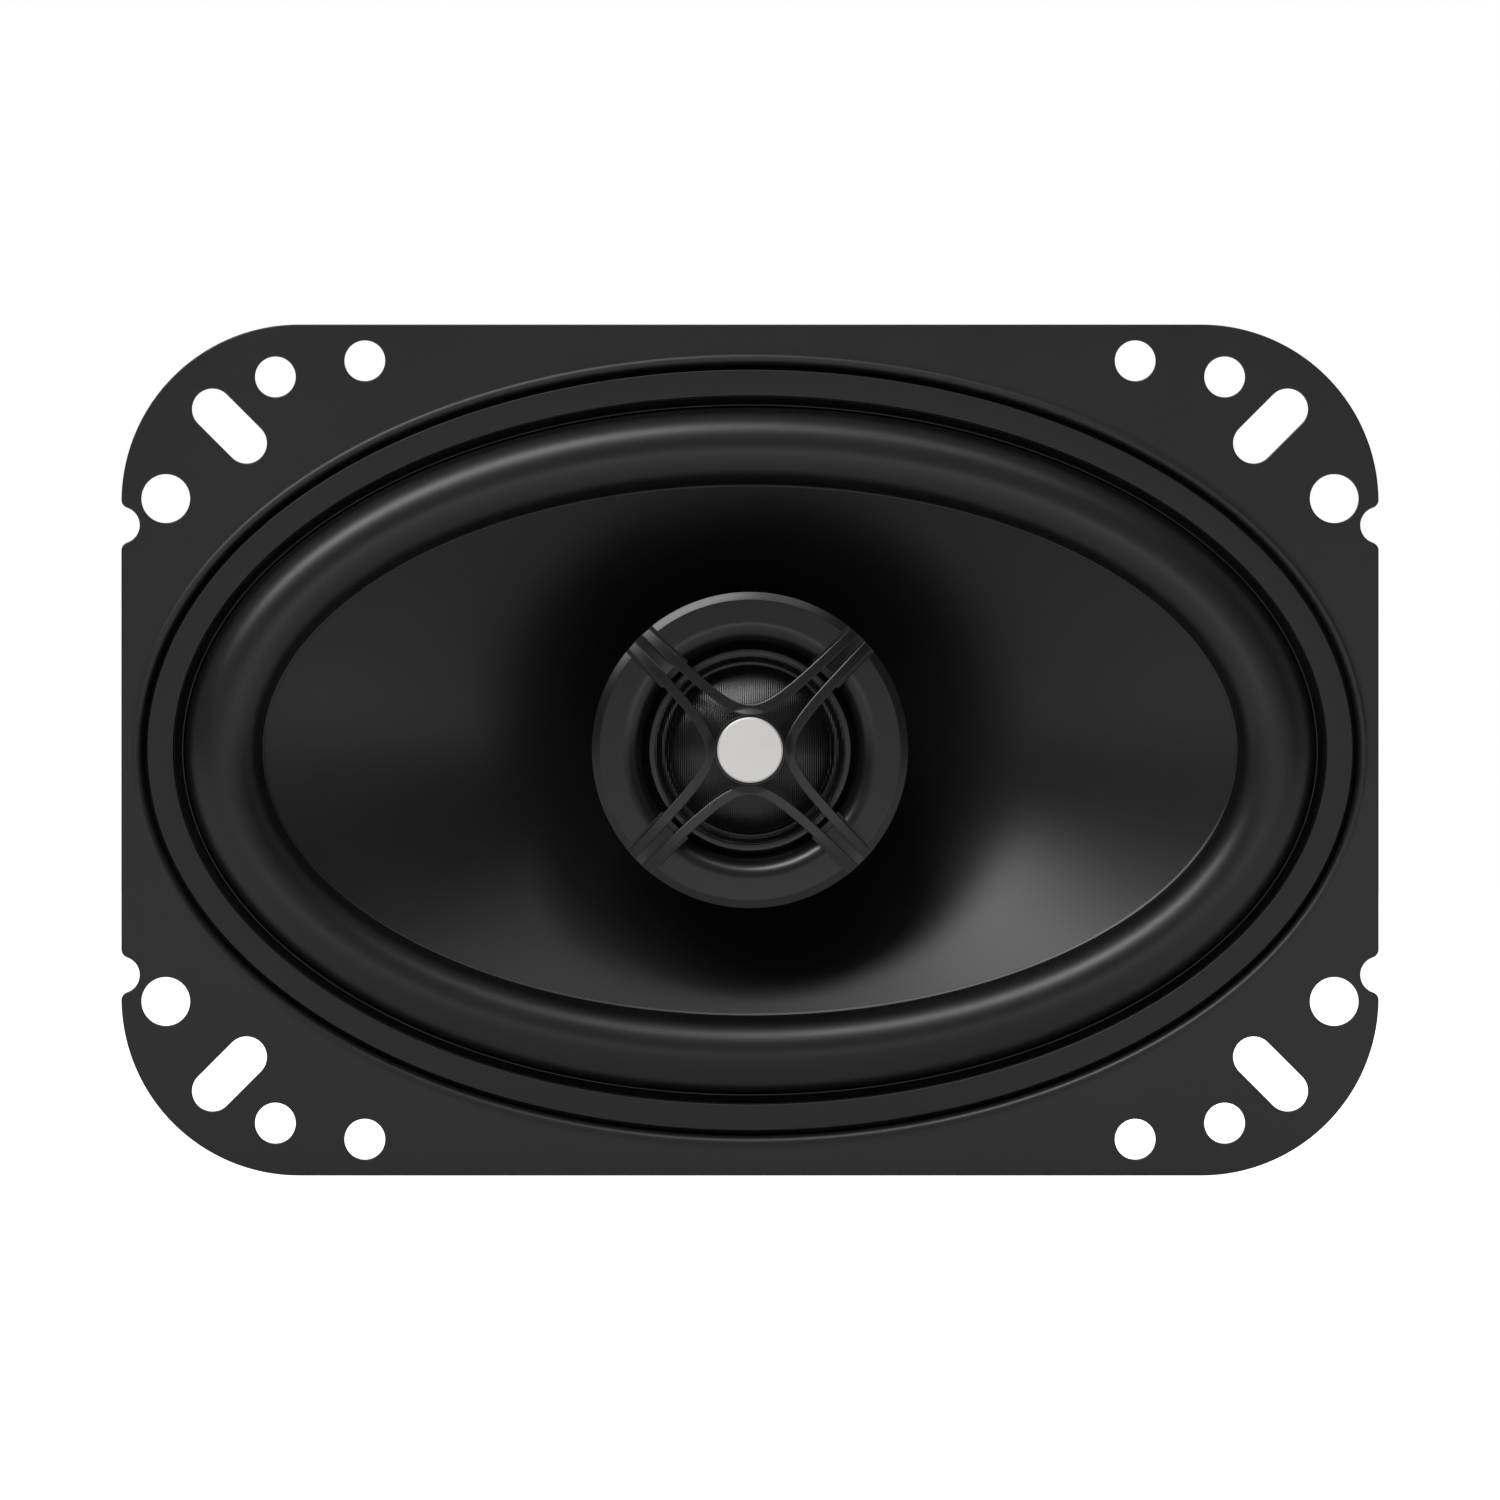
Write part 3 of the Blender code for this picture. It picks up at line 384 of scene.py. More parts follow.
def bowl_rows():
    """The opening's rings, from the flange's front face down through the bowl and back up its rear."""
    recess = [(77.3, -1.0), (76.7, -1.0), (76.6, -1.03), (76.35, -1.16), (76.25, -1.17), (76.15, -1.15)]
    recess += [(75.85, -1.0), (75.7, -0.82), (75.5, -0.5), (75.36, -0.1), (75.3, 0.9), (75.25, 1.25)]
    recess += [(75.0, 1.4), (70.2, 1.4), (69.4, 1.55), WALL_INSIDE[0]]
    base = [WALL_INSIDE[1], (33.8, 21.5), (33.2, 21.6), (29.6, 21.6), (29.0, 21.8), (28.6, 22.3)]
    base += [(27.3, 26.4), (27.0, 26.8), (26.4, 27.0), (15.2, 27.0), (15.0, 27.15), (15.0, 27.85)]
    base += [(15.2, 28.0), (27.6, 28.0), (28.2, 27.8), (28.6, 27.3), (29.6, 23.2), (30.0, 22.8)]
    base += [(30.6, 22.6), (34.2, 22.6), (34.9, 22.4), WALL_OUTSIDE[1]]
    rear = [WALL_OUTSIDE[0], (70.0, 2.55), (70.7, 2.4), (75.8, 2.4), (76.4, 2.0), (76.5, 1.2)]
    bend = 0.7
    for turn in np.linspace(0, math.pi / 2, 5):
        rear.append((76.6 + bend * (1 - math.cos(turn)), bend * (1 - math.sin(turn))))
    rear.append((77.4, 0.0))
    wall_shares = [step / WALL_STEPS for step in range(1, WALL_STEPS)]
    rows = [oval(half_x, y) for half_x, y in recess]
    rows += [spoke_ring(share, WALL_INSIDE) for share in wall_shares]
    rows += [ring(radius, radius, y, OVAL_POINTS) for radius, y in base]
    rows += [spoke_ring(share, WALL_OUTSIDE) for share in wall_shares[::-1]]
    return rows + [oval(half_x, y) for half_x, y in rear]


def window_cutters():
    """Wedges with rounded corners through the bowl's wall, one between each two spokes."""
    section = []
    for side_x, side_y in QUADRANTS:
        corner = []
        for turn in np.linspace(0, math.pi / 2, 7):
            across = 1 - WINDOW_ROUND_ACROSS * (1 - math.cos(turn))
            along = 1 - WINDOW_ROUND_ALONG * (1 - math.sin(turn))
            corner.append((side_x * across, side_y * along))
        section += corner[:: side_x * side_y]
    middle_y, half_y = (WINDOW_FRONT + WINDOW_REAR) / 2, (WINDOW_REAR - WINDOW_FRONT) / 2
    cutters = []
    for index in range(8):
        rows = []
        for out in WINDOW_REACH:
            row = []
            for across, along in section:
                turn = math.radians(SPOKE_TURN * (index + 0.5) + across * WINDOW_HALF_TURN)
                row.append(Vector((out * math.cos(turn), middle_y + along * half_y, out * math.sin(turn))))
            rows.append(row)
        cutters.append(skin("window", rows, closed=False))
    return together("window_cutters", cutters)


def pressed_basket():
    """The flange's faces are filled between the first and last rings of its outline, holes and bowl."""
    loops = [(flange_outline(), -1)]
    for side_x in (1, -1):
        for side_z in (1, -1):
            loops += [(circle(side_x * x, side_z * z, radius), 1) for x, z, radius in ROUND_HOLES]
            loops.append((slot(side_x * SLOT_X, side_z * SLOT_Z, 45 * side_x * side_z), 1))
    lip = [(FLAT_EDGE, FLANGE_FRONT)]
    for turn in np.linspace(0, math.pi / 2, 4):
        lip.append((LIP * (1 - math.sin(turn)), FLANGE_FRONT + LIP * (1 - math.cos(turn))))
    lip += [(inset, FLANGE_FRONT - y) for inset, y in lip[::-1]]
    rings = [bowl_rows()]
    for outline, side in loops:
        rings.append([[Vector((x, y, z)) for x, z in shifted(outline, side * inset)] for inset, y in lip])
    shape = bmesh.new()
    faces_of = {0: [], -1: []}
    for rows in rings:
        made = [[shape.verts.new(point * MM) for point in row] for row in rows]
        for row, following in zip(made, made[1:]):
            for step in range(len(row)):
                after = (step + 1) % len(row)
                shape.faces.new((row[step], row[after], following[after], following[step]))
        for end, edges in faces_of.items():
            loop = made[end]
            edges += [shape.edges.get((loop[step - 1], loop[step])) for step in range(len(loop))]
    for edges in faces_of.values():
        bmesh.ops.triangle_fill(shape, use_beauty=True, edges=edges)
    bmesh.ops.recalc_face_normals(shape, faces=shape.faces)
    mesh = bpy.data.meshes.new("basket_pressing")
    shape.to_mesh(mesh)
    shape.free()
    made = bpy.data.objects.new("basket_pressing", mesh)
    bpy.context.scene.collection.objects.link(made)
    return made


def finish(name, colour, roughness, metallic=0.0, grain=0.3, depth=0.004, drift=0.12, gloss_drift=0.06):
    """A material with a fine grain, given in mm, and a slow drift in its colour and its gloss."""
    made = bpy.data.materials.new(name)
    made.use_nodes = True
    nodes, links = made.node_tree.nodes, made.node_tree.links
    shader = nodes["Principled BSDF"]
    shader.inputs["Metallic"].default_value = metallic
    place = nodes.new("ShaderNodeTexCoord").outputs["Object"]
    slow = nodes.new("ShaderNodeTexNoise")
    slow.inputs["Scale"].default_value = 60.0
    slow.inputs["Detail"].default_value = 4.0
    links.new(place, slow.inputs["Vector"])
    tint = nodes.new("ShaderNodeMix")
    tint.data_type = "RGBA"
    tint.inputs["A"].default_value = (*(part * (1 - drift) for part in colour), 1.0)
    tint.inputs["B"].default_value = (*(part * (1 + drift) for part in colour), 1.0)
    links.new(slow.outputs["Fac"], tint.inputs["Factor"])
    links.new(tint.outputs["Result"], shader.inputs["Base Color"])
    gloss = nodes.new("ShaderNodeMapRange")
    gloss.inputs["To Min"].default_value = roughness - gloss_drift
    gloss.inputs["To Max"].default_value = roughness + gloss_drift
    links.new(slow.outputs["Fac"], gloss.inputs["Value"])
    links.new(gloss.outputs["Result"], shader.inputs["Roughness"])
    fine = nodes.new("ShaderNodeTexNoise")
    fine.inputs["Scale"].default_value = 1000.0 / grain
    fine.inputs["Detail"].default_value = 2.0
    links.new(place, fine.inputs["Vector"])
    bump = nodes.new("ShaderNodeBump")
    bump.inputs["Distance"].default_value = depth * MM
    links.new(fine.outputs["Fac"], bump.inputs["Height"])
    links.new(bump.outputs["Normal"], shader.inputs["Normal"])
    return made


basket = machined(pressed_basket(), window_cutters())
stake_holes = [circle(x, z, STAKE_HOLE, 32) for x, z in STAKES]
basket = punched(basket, stake_holes, 24, 31)
board_tab = prism("board_tab", box_outline(-44.7, -31.5, 6.0, 1.5), 21.7, 22.5, lip=0.1)
basket = machined(basket, board_tab, "UNION")
board_rivet_holes = [circle(BOARD_RIVET_X, side * BOARD_RIVET_Z, RIVET_HOLE, 32) for side in (1, -1)]
basket = punched(basket, board_rivet_holes, 20, 26)
basket.name = "basket_pressing"
basket.data.materials.clear()
electrocoat = finish("black_electrocoat", (0.008, 0.008, 0.0083), 0.4, grain=0.22, depth=0.003)
basket.data.materials.append(electrocoat)
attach(basket, "frame")
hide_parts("basket")


# ---- Gasket ring -----------------------------------------------------------------------------------------
# An oval ring of pressed fibre, glued on the recess floor over the surround's edge. Its face stands just
# proud of the flange, and its square inner edge leaves a narrow groove round the surround's bead.

gasket_profile = [(74.8, -1.1, 0.16), (71.55, -1.1, 0.2), (71.5, 0.4, 0.05), (74.8, 0.4, 0.05)]
gasket = skin("gasket_ring_fibre", [oval(half_x, y) for half_x, y in rounded(gasket_profile, steps=7)])
gasket.data.materials.append(
    finish("black_gasket_fibre", (0.0035, 0.0035, 0.0036), 0.46, grain=0.35, depth=0.006, drift=0.2)
)
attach(gasket, "frame")
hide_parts("gasket_ring")


# ---- Surround --------------------------------------------------------------------------------------------
# A half roll of soft black rubber. It is moulded with a flat rim under the gasket ring, a groove and a thin
# bead at the roll's outer foot, and a lip that is glued behind the cone and leaves a fine line at the
# cone's edge.

ROLL_OUTER, ROLL_INNER, ROLL_FOOT, ROLL_RISE, RUBBER = 70.3, 60.55, 0.9, 4.4, 0.5
RIM_X, LIP_X, LIP_Z = 74.2, 57.5, 31.6
roll_middle, roll_half = (ROLL_OUTER + ROLL_INNER) / 2, (ROLL_OUTER - ROLL_INNER) / 2
roll_turns = np.linspace(0.13, math.pi - 0.04, 34)


def roll_line(turns, thickness):
    """The roll's profile, in by a thickness from its front face."""
    half, rise = roll_half - thickness, ROLL_RISE - thickness
    return [(roll_middle + half * math.cos(turn), ROLL_FOOT - rise * math.sin(turn)) for turn in turns]


front_line = [(RIM_X, 0.7), (71.45, 0.6), (71.35, 0.5), (71.05, 0.8), (70.62, 0.4)]
front_line += [(70.5, -0.38), (70.46, -0.42), (70.36, -0.42), (70.33, -0.3), (70.29, 0.2)]
front_line += roll_line(roll_turns, 0.0) + [(ROLL_INNER, 0.5), (60.28, 0.64), (60.26, 0.9)]
surround_rows = [oval(half_x, y) for half_x, y in front_line]
surround_rows += [oval(60.7, 2.2), ring(LIP_X, LIP_Z, 3.3, OVAL_POINTS)]
surround_rows += [ring(LIP_X, LIP_Z, 3.7, OVAL_POINTS), oval(61.1, 2.7)]
surround_rows += [oval(half_x, y) for half_x, y in roll_line(roll_turns[::-1], RUBBER)]
surround_rows += [oval(70.5, 1.1), oval(RIM_X, 1.1)]
surround = skin("surround_roll", surround_rows, sharp=25)
surround.data.materials.append(
    finish("black_surround_rubber", (0.004, 0.004, 0.0042), 0.36, grain=0.25, depth=0.002, drift=0.1)
)


def follow(piece):
    """Bakes the piece's placement into its points and leaves it on no body."""
    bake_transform(piece)


follow(surround)
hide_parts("surround")


# ---- Cone ------------------------------------------------------------------------------------------------
# Pressed pulp, from the oval edge to the round neck on the voice coil, bowed a little to the front for
# stiffness. Its front has a thin black polymer coat that dries to a soft gloss.

CONE_EDGE, CONE_EDGE_Y, NECK, NECK_Y, CONE_SKIN, CONE_BOW = 60.3, 1.0, 13.35, 17.5, 0.7, 1.3


def cone_ring(share, back):
    """A ring of the cone at a share of the way from edge to neck, set back from its front face."""
    half_x = CONE_EDGE + (NECK - CONE_EDGE) * share
    half_z = CONE_EDGE - STRETCH + (NECK - CONE_EDGE + STRETCH) * share
    y = CONE_EDGE_Y + (NECK_Y - CONE_EDGE_Y) * share - CONE_BOW * math.sin(math.pi * share)
    return ring(half_x, half_z, y + back, OVAL_POINTS)


cone_shares = np.linspace(0, 1, 40)
cone_rows = [cone_ring(share, 0.0) for share in cone_shares]
cone_rows += [cone_ring(share, CONE_SKIN) for share in cone_shares[::-1]]
cone = skin("cone_pulp", cone_rows)
pulp = finish(
    "black_coated_pulp", (0.004, 0.004, 0.0042), 0.36, grain=0.5, depth=0.003, drift=0.25, gloss_drift=0.03
)
pulp.node_tree.nodes["Principled BSDF"].inputs["Specular IOR Level"].default_value = 0.41
cone.data.materials.append(pulp)
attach(cone, "woofer_cone")
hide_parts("cone")


# ---- Voice coil ------------------------------------------------------------------------------------------
# A foil former, rolled and glued with a lapped seam, and on its rear end two layers of enamelled copper
# wire, wound side by side. It hangs in the gap between the top plate and the pole.

FORMER_INNER, FORMER_OUTER, FORMER_FRONT, FORMER_REAR = 12.75, 13.05, 16.8, 34.6
ROUND_POINTS = 144


def turned(name, corners, steps=4, count=ROUND_POINTS, closed=True, sharp=35):
    """A round piece from its profile's corners (radius, y, rounding), solid in the middle unless closed."""
    return skin(name, [ring(r, r, y, count) for r, y in rounded(corners, steps)], closed, sharp)


def bead_on(material, height, depth):
    """Adds another height, in millimetres of depth, on top of the material's own grain."""
    nodes, links = material.node_tree.nodes, material.node_tree.links
    shader = nodes["Principled BSDF"]
    over = nodes.new("ShaderNodeBump")
    over.inputs["Distance"].default_value = depth * MM
    links.new(shader.inputs["Normal"].links[0].from_socket, over.inputs["Normal"])
    links.new(height, over.inputs["Height"])
    links.new(over.outputs["Normal"], shader.inputs["Normal"])


def rings_height(material, pitch):
    """A height that goes up and down with distance from the speaker's axis, as a lathe leaves it."""
    tree = material.node_tree
    place = tree.nodes.new("ShaderNodeTexCoord").outputs["Object"]
    flat = worked(tree, "MULTIPLY", place, (1.0, 0.0, 1.0), kind="ShaderNodeVectorMath")["Vector"]
    reach = worked(tree, "LENGTH", flat, kind="ShaderNodeVectorMath")["Value"]
    wave = worked(tree, "MULTIPLY", reach, 2 * math.pi / (pitch * MM))["Value"]
    return worked(tree, "SINE", wave)["Value"]


former_profile = [(FORMER_INNER, FORMER_FRONT, 0.03), (FORMER_OUTER, FORMER_FRONT, 0.03)]
former_profile += [(FORMER_OUTER, FORMER_REAR, 0.03), (FORMER_INNER, FORMER_REAR, 0.03)]
former = turned("former_foil_tube", former_profile)
former.data.materials.append(
    finish("aluminium_foil", (0.62, 0.62, 0.61), 0.34, metallic=1.0, grain=0.15, depth=0.002, drift=0.06)
)
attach(former, "woofer_cone")
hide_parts("voice_coil_former")

copper = finish(
    "enamelled_copper", (0.56, 0.2, 0.075), 0.3, metallic=1.0, grain=0.2, depth=0.001, drift=0.15
)


def wound(name, inner, outer, front, rear, wire):
    """A winding from y = front to y = rear. Its outside is one round of wire after another."""
    turns = round((rear - front) / wire)
    profile = [(inner, front)]
    for index in range(turns):
        for lift, share in ((0.0, 0.0), (0.42, 0.25), (0.5, 0.5), (0.42, 0.75)):
            profile.append((outer - wire * (0.5 - lift), front + (rear - front) * (index + share) / turns))
    profile.append((outer - wire / 2, rear))
    profile.append((inner, rear))
    return skin(name, [ring(r, r, y, 96) for r, y in profile], sharp=75)


winding = wound("copper_winding", inner=13.15, outer=13.5, front=26.3, rear=34.3, wire=0.25)
winding.data.materials.append(copper)
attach(winding, "woofer_cone")
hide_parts("voice_coil_winding")


# ---- Spider ----------------------------------------------------------------------------------------------
# The centring disc: cotton cloth stiffened with amber resin and pressed into waves. Its collar is glued
# round the former, its flat rim on the basket's shelf, and it springs with the cone.

SPIDER_Y, SPIDER_CLOTH = 21.1, 0.4
WAVES, WAVE_HEIGHT, WAVES_FROM, WAVES_TO = 4, 0.62, 14.6, 29.6
spider_line = [(13.25, SPIDER_Y - 1.3), (13.45, SPIDER_Y - 1.0), (13.8, SPIDER_Y - 0.35)]
spider_line.append((WAVES_FROM, SPIDER_Y))
for share in np.linspace(0, 1, 16 * WAVES + 1)[1:]:
    fade = min(1.0, 8 * share, 8 * (1 - share))
    wave = WAVE_HEIGHT * fade * math.sin(2 * math.pi * WAVES * share)
    spider_line.append((WAVES_FROM + (WAVES_TO - WAVES_FROM) * share, SPIDER_Y - wave))
spider_line += [(30.2, SPIDER_Y), (32.9, SPIDER_Y)]
spider_rows = [ring(r, r, y - SPIDER_CLOTH / 2, ROUND_POINTS) for r, y in spider_line]
spider_rows += [ring(r, r, y + SPIDER_CLOTH / 2, ROUND_POINTS) for r, y in spider_line[::-1]]
spider = skin("spider_cloth", spider_rows, sharp=60)


def threads_height(material, axis, pitch):
    """A height that goes up and down along one axis, as threads that lie side by side."""
    tree = material.node_tree
    place = tree.nodes.new("ShaderNodeSeparateXYZ")
    tree.links.new(tree.nodes.new("ShaderNodeTexCoord").outputs["Object"], place.inputs["Vector"])
    wave = worked(tree, "MULTIPLY", place.outputs[axis], 2 * math.pi / (pitch * MM))["Value"]
    return worked(tree, "SINE", wave)["Value"]


resin_cloth = finish("resin_cotton", (0.42, 0.26, 0.09), 0.72, grain=0.4, depth=0.02, drift=0.2)
weft, warp = (threads_height(resin_cloth, axis, 0.9) for axis in ("X", "Z"))
bead_on(resin_cloth, worked(resin_cloth.node_tree, "MULTIPLY", weft, warp)["Value"], 0.05)
spider.data.materials.append(resin_cloth)
follow(spider)
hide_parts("spider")


# ---- Motor -----------------------------------------------------------------------------------------------
# A ferrite ring glued between a stamped top plate and a forged back plate with its pole. The steel is zinc
# plated, the ferrite ground flat and left bare. Four stakes of the top plate are riveted over the basket's
# base.

top_plate_profile = [(14.0, 28.3, 0.3), (33.0, 28.3, 0.5), (33.0, 32.3, 0.5), (14.0, 32.3, 0.3)]
top_plate = turned("top_plate_washer", top_plate_profile)
top_plate = punched(top_plate, stake_holes, 26, 34)
plated = finish(
    "zinc_plated_steel", (0.5, 0.49, 0.46), 0.36, metallic=1.0, grain=0.25, depth=0.006, drift=0.14
)
bead_on(plated, rings_height(plated, 0.35), 0.0025)
top_plate.data.materials.clear()
top_plate.data.materials.append(plated)
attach(top_plate, "frame")
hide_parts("top_plate")

magnet_profile = [(16.5, 32.6, 0.2), (35.0, 32.6, 1.3), (35.0, 44.6, 1.3), (16.5, 44.6, 0.2)]
magnet = turned("ferrite_ring", magnet_profile, steps=3)
ferrite = finish("bare_ferrite", (0.035, 0.035, 0.037), 0.55, grain=0.6, depth=0.03, drift=0.3)
magnet.data.materials.append(ferrite)
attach(magnet, "frame")
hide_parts("ferrite_magnet")

yoke = turned(
    "back_plate_and_pole",
    [
        (4.3, 27.9, 0.2),
        (12.25, 27.9, 0.5),
        (12.25, 44.9, 0.4),
        (33.0, 44.9, 0.4),
        (33.0, 49.2, 1.2),
        (4.3, 49.2, 0.2),
    ],
)
yoke.data.materials.append(plated)
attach(yoke, "frame")
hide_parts("yoke_and_pole")

stake_head = [(0.2, 25.75, 0.0), (1.5, 25.8, 0.2), (2.6, 26.2, 0.3), (2.6, 26.7, 0.08)]
stake_head += [(1.4, 26.7, 0.05), (1.4, 32.0, 0.1), (0.2, 32.0, 0.0)]
for index, (x, z) in enumerate(STAKES, 1):
    stake = turned(f"riveted_stake_{index}", stake_head, steps=3, count=32, closed=False)
    stake.location = (x * MM, 0.0, z * MM)
    stake.data.materials.append(plated)
    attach(stake, "frame")
    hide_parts(f"basket_stake_{index}")


# ---- Terminal board --------------------------------------------------------------------------------------
# A punched board of brown phenolic paper on the basket's tab, with a wide positive and a narrow negative
# push-on tab of tinned brass, all held by hollow rivets. A small film capacitor across it feeds the
# tweeter.


TERMINAL_Z, TERMINAL_RIVET_X = 8.5, -51.5
terminal_rivet_holes = [circle(TERMINAL_RIVET_X, side * TERMINAL_Z, RIVET_HOLE, 32) for side in (1, -1)]
board = prism("phenolic_board", box_outline(-57.0, -36.5, 12.0, 1.5), 23.0, 24.2, lip=0.08)
board = punched(board, board_rivet_holes + terminal_rivet_holes, 20, 26)
board.data.materials.clear()
phenolic = finish(
    "brown_phenolic_paper", (0.16, 0.06, 0.02), 0.5, grain=0.8, depth=0.01, drift=0.35, gloss_drift=0.1
)
board.data.materials.append(phenolic)
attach(board, "frame")
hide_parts("terminal_board")

BLADE_ROOT_X, BLADE_ROOT_HALF, BLADE_SHOULDER_X, BLADE_TIP_X = -49.2, 2.6, -58.4, -66.0
BLADE_ROOT_CORNER, BLADE_FRONT, BLADE_REAR = 0.7, 24.5, 25.3
LATCH_HOLE_X, LATCH_HOLE = -62.0, 0.8


def hollow_rivet(name, x, z, bore, front, seat, crown):
    """A hollow rivet: a tube from y = front to its seat, and on it a head that narrows to the crown."""
    profile = [(bore, front, 0.0), (1.0, front, 0.05), (1.0, seat, 0.05), (2.0, seat, 0.1)]
    profile += [(crown, seat + 0.7, 0.3), (0.7, seat + 0.7, 0.2), (bore, seat + 0.3, 0.1)]
    made = turned(name, profile, steps=3, count=32)
    made.location = (x * MM, 0.0, z * MM)
    made.data.materials.append(plated)
    return made


def blade_outline(z, half_width):
    """A blade's outline: a rounded root at the rivet, shoulders, and a tip with cut corners."""
    root_z = BLADE_ROOT_HALF - BLADE_ROOT_CORNER
    edge = arc(BLADE_ROOT_X - BLADE_ROOT_CORNER, root_z, BLADE_ROOT_CORNER, 0, 90, 4)
    edge += [(BLADE_SHOULDER_X + 0.8, BLADE_ROOT_HALF), (BLADE_SHOULDER_X, half_width)]
    edge += [(BLADE_TIP_X + 1.0, half_width), (BLADE_TIP_X, half_width - 0.9)]
    return [(x, z + off) for x, off in edge] + [(x, z - off) for x, off in edge[::-1]]


tinned = finish("tinned_brass", (0.62, 0.59, 0.52), 0.28, metallic=1.0, grain=0.5, depth=0.004, drift=0.1)
for side, half_width, name in ((-1, 2.375, "negative"), (1, 3.15, "positive")):
    z = side * TERMINAL_Z
    blade = prism(f"push_on_tab_{name}", blade_outline(z, half_width), BLADE_FRONT, BLADE_REAR, lip=0.12)
    blade_holes = [circle(TERMINAL_RIVET_X, z, RIVET_HOLE, 32), circle(LATCH_HOLE_X, z, LATCH_HOLE, 24)]
    blade = punched(blade, blade_holes, 22, 28)
    blade.data.materials.clear()
    blade.data.materials.append(tinned)
    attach(blade, "frame")
    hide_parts(f"terminal_{name}")
    rivet = hollow_rivet(
        f"hollow_rivet_{name}", TERMINAL_RIVET_X, z, bore=0.45, front=22.2, seat=25.6, crown=1.75
    )
    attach(rivet, "frame")
    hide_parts(f"terminal_rivet_{name}")

for side, name in ((-1, "lower"), (1, "upper")):
    z = side * BOARD_RIVET_Z
    rivet = hollow_rivet(
        f"board_rivet_{name}_hollow", BOARD_RIVET_X, z, bore=0.4, front=20.9, seat=24.5, crown=1.8
    )
    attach(rivet, "frame")
    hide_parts(f"board_rivet_{name}")

CAN_X, CAN_Y, CAN_RADIUS, CAN_HALF = -46.8, 28.6, 4.0, 5.2
can_end = CAN_HALF - 0.25
can_profile = [(0.3, -can_end, 0.0), (3.1, -can_end, 0.1)]
can_profile += [(3.2, -CAN_HALF, 0.15), (CAN_RADIUS, -CAN_HALF, 0.5)]
can_profile += [(r, -y, rounding) for r, y, rounding in can_profile[::-1]]
can = turned("film_capacitor", can_profile, steps=5, count=64, closed=False)
can.rotation_euler = (math.radians(90), 0.0, 0.0)
can.location = (CAN_X * MM, CAN_Y * MM, 0.0)
sleeve = finish(
    "dark_blue_film_sleeve", (0.012, 0.03, 0.1), 0.32, grain=0.7, depth=0.004, drift=0.15, gloss_drift=0.05
)
can.data.materials.append(sleeve)
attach(can, "frame")
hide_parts("crossover_capacitor")


def smooth_route(route, spacing):
    """Points about the spacing apart on a smooth curve through the route's own points."""
    knots = [Vector(point) for point in route]
    padded = [2 * knots[0] - knots[1], *knots, 2 * knots[-1] - knots[-2]]
    found = [knots[0]]
    for before, start, end, after in zip(padded, padded[1:], padded[2:], padded[3:]):
        steps = max(1, round((end - start).length / spacing))
        for step in range(1, steps + 1):
            t = step / steps
            bend = 2 * before - 5 * start + 4 * end - after
            twist = 3 * start - before - 3 * end + after
            found.append(0.5 * (2 * start + (end - before) * t + bend * t**2 + twist * t**3))
    return found


def wire_piece(name, route, radius, sides, spacing, strands=0, lay=1.0):
    """A round wire along a route. With strands its outside is ridged, and twists one turn in each lay."""
    path = smooth_route(route, spacing)
    aside = Vector((0.3, 1.0, 0.2))
    rows, travelled = [], 0.0
    for index, point in enumerate(path):
        along = (path[min(index + 1, len(path) - 1)] - path[max(index - 1, 0)]).normalized()
        aside = (aside - along * aside.dot(along)).normalized()
        across = along.cross(aside)
        travelled += (point - path[index - 1]).length if index else 0.0
        row = []
        for step in range(sides):
            turn = 2 * math.pi * step / sides
            twist = turn + 2 * math.pi * travelled / lay
            swollen = radius * (1 + 0.16 * math.cos(strands * twist)) if strands else radius
            row.append(point + swollen * (aside * math.cos(turn) + across * math.sin(turn)))
        rows.append(row)
    return skin(name, rows, closed=False, sharp=60)


for side, name in ((-1, "negative"), (1, "positive")):
    route = [
        (CAN_X, CAN_Y, side * (CAN_HALF + 0.1)),
        (CAN_X, CAN_Y - 0.1, side * (CAN_HALF + 1.3)),
        (CAN_X, CAN_Y - 1.0, side * (CAN_HALF + 2.2)),
        (CAN_X, CAN_Y - 2.4, side * (CAN_HALF + 2.5)),
        (CAN_X, 24.5, side * (CAN_HALF + 2.5)),
    ]
    leg = wire_piece(f"capacitor_leg_{name}", route, 0.35, sides=12, spacing=0.3)
    leg.data.materials.append(tinned)
    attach(leg, "frame")
    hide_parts(f"capacitor_lead_{name}")


# ---- Leads -----------------------------------------------------------------------------------------------
# Two slack leads of braided copper tinsel carry the current from the board to the moving cone. Two thin
# insulated wires run from the tweeter down its hollow post and round the back plate to the terminals.

BOARD_END_X, CONE_END_X, WIRE_OFF_MIDDLE = -48.5, -25.0, 1.15

tinsel = finish("copper_tinsel", (0.5, 0.3, 0.16), 0.42, metallic=1.0, grain=0.25, depth=0.03, drift=0.3)
for side, name in ((-1, "negative"), (1, "positive")):
    route = [
        (-22.3, 15.9, side * 6.0),
        (-25.0, 17.3, side * 7.2),
        (-30.5, 17.6, side * 9.2),
        (-37.0, 16.4, side * 11.0),
        (-42.5, 16.6, side * 11.4),
        (-47.5, 18.6, side * 10.2),
        (-49.2, 21.0, side * 9.0),
        (-49.4, 22.65, side * 8.5),
    ]
    lead = wire_piece(f"braided_lead_{name}", route, 0.56, sides=24, spacing=0.25, strands=5, lay=3.2)
    lead.data.materials.append(tinsel)
    follow(lead)
    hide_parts(f"tinsel_lead_{name}")

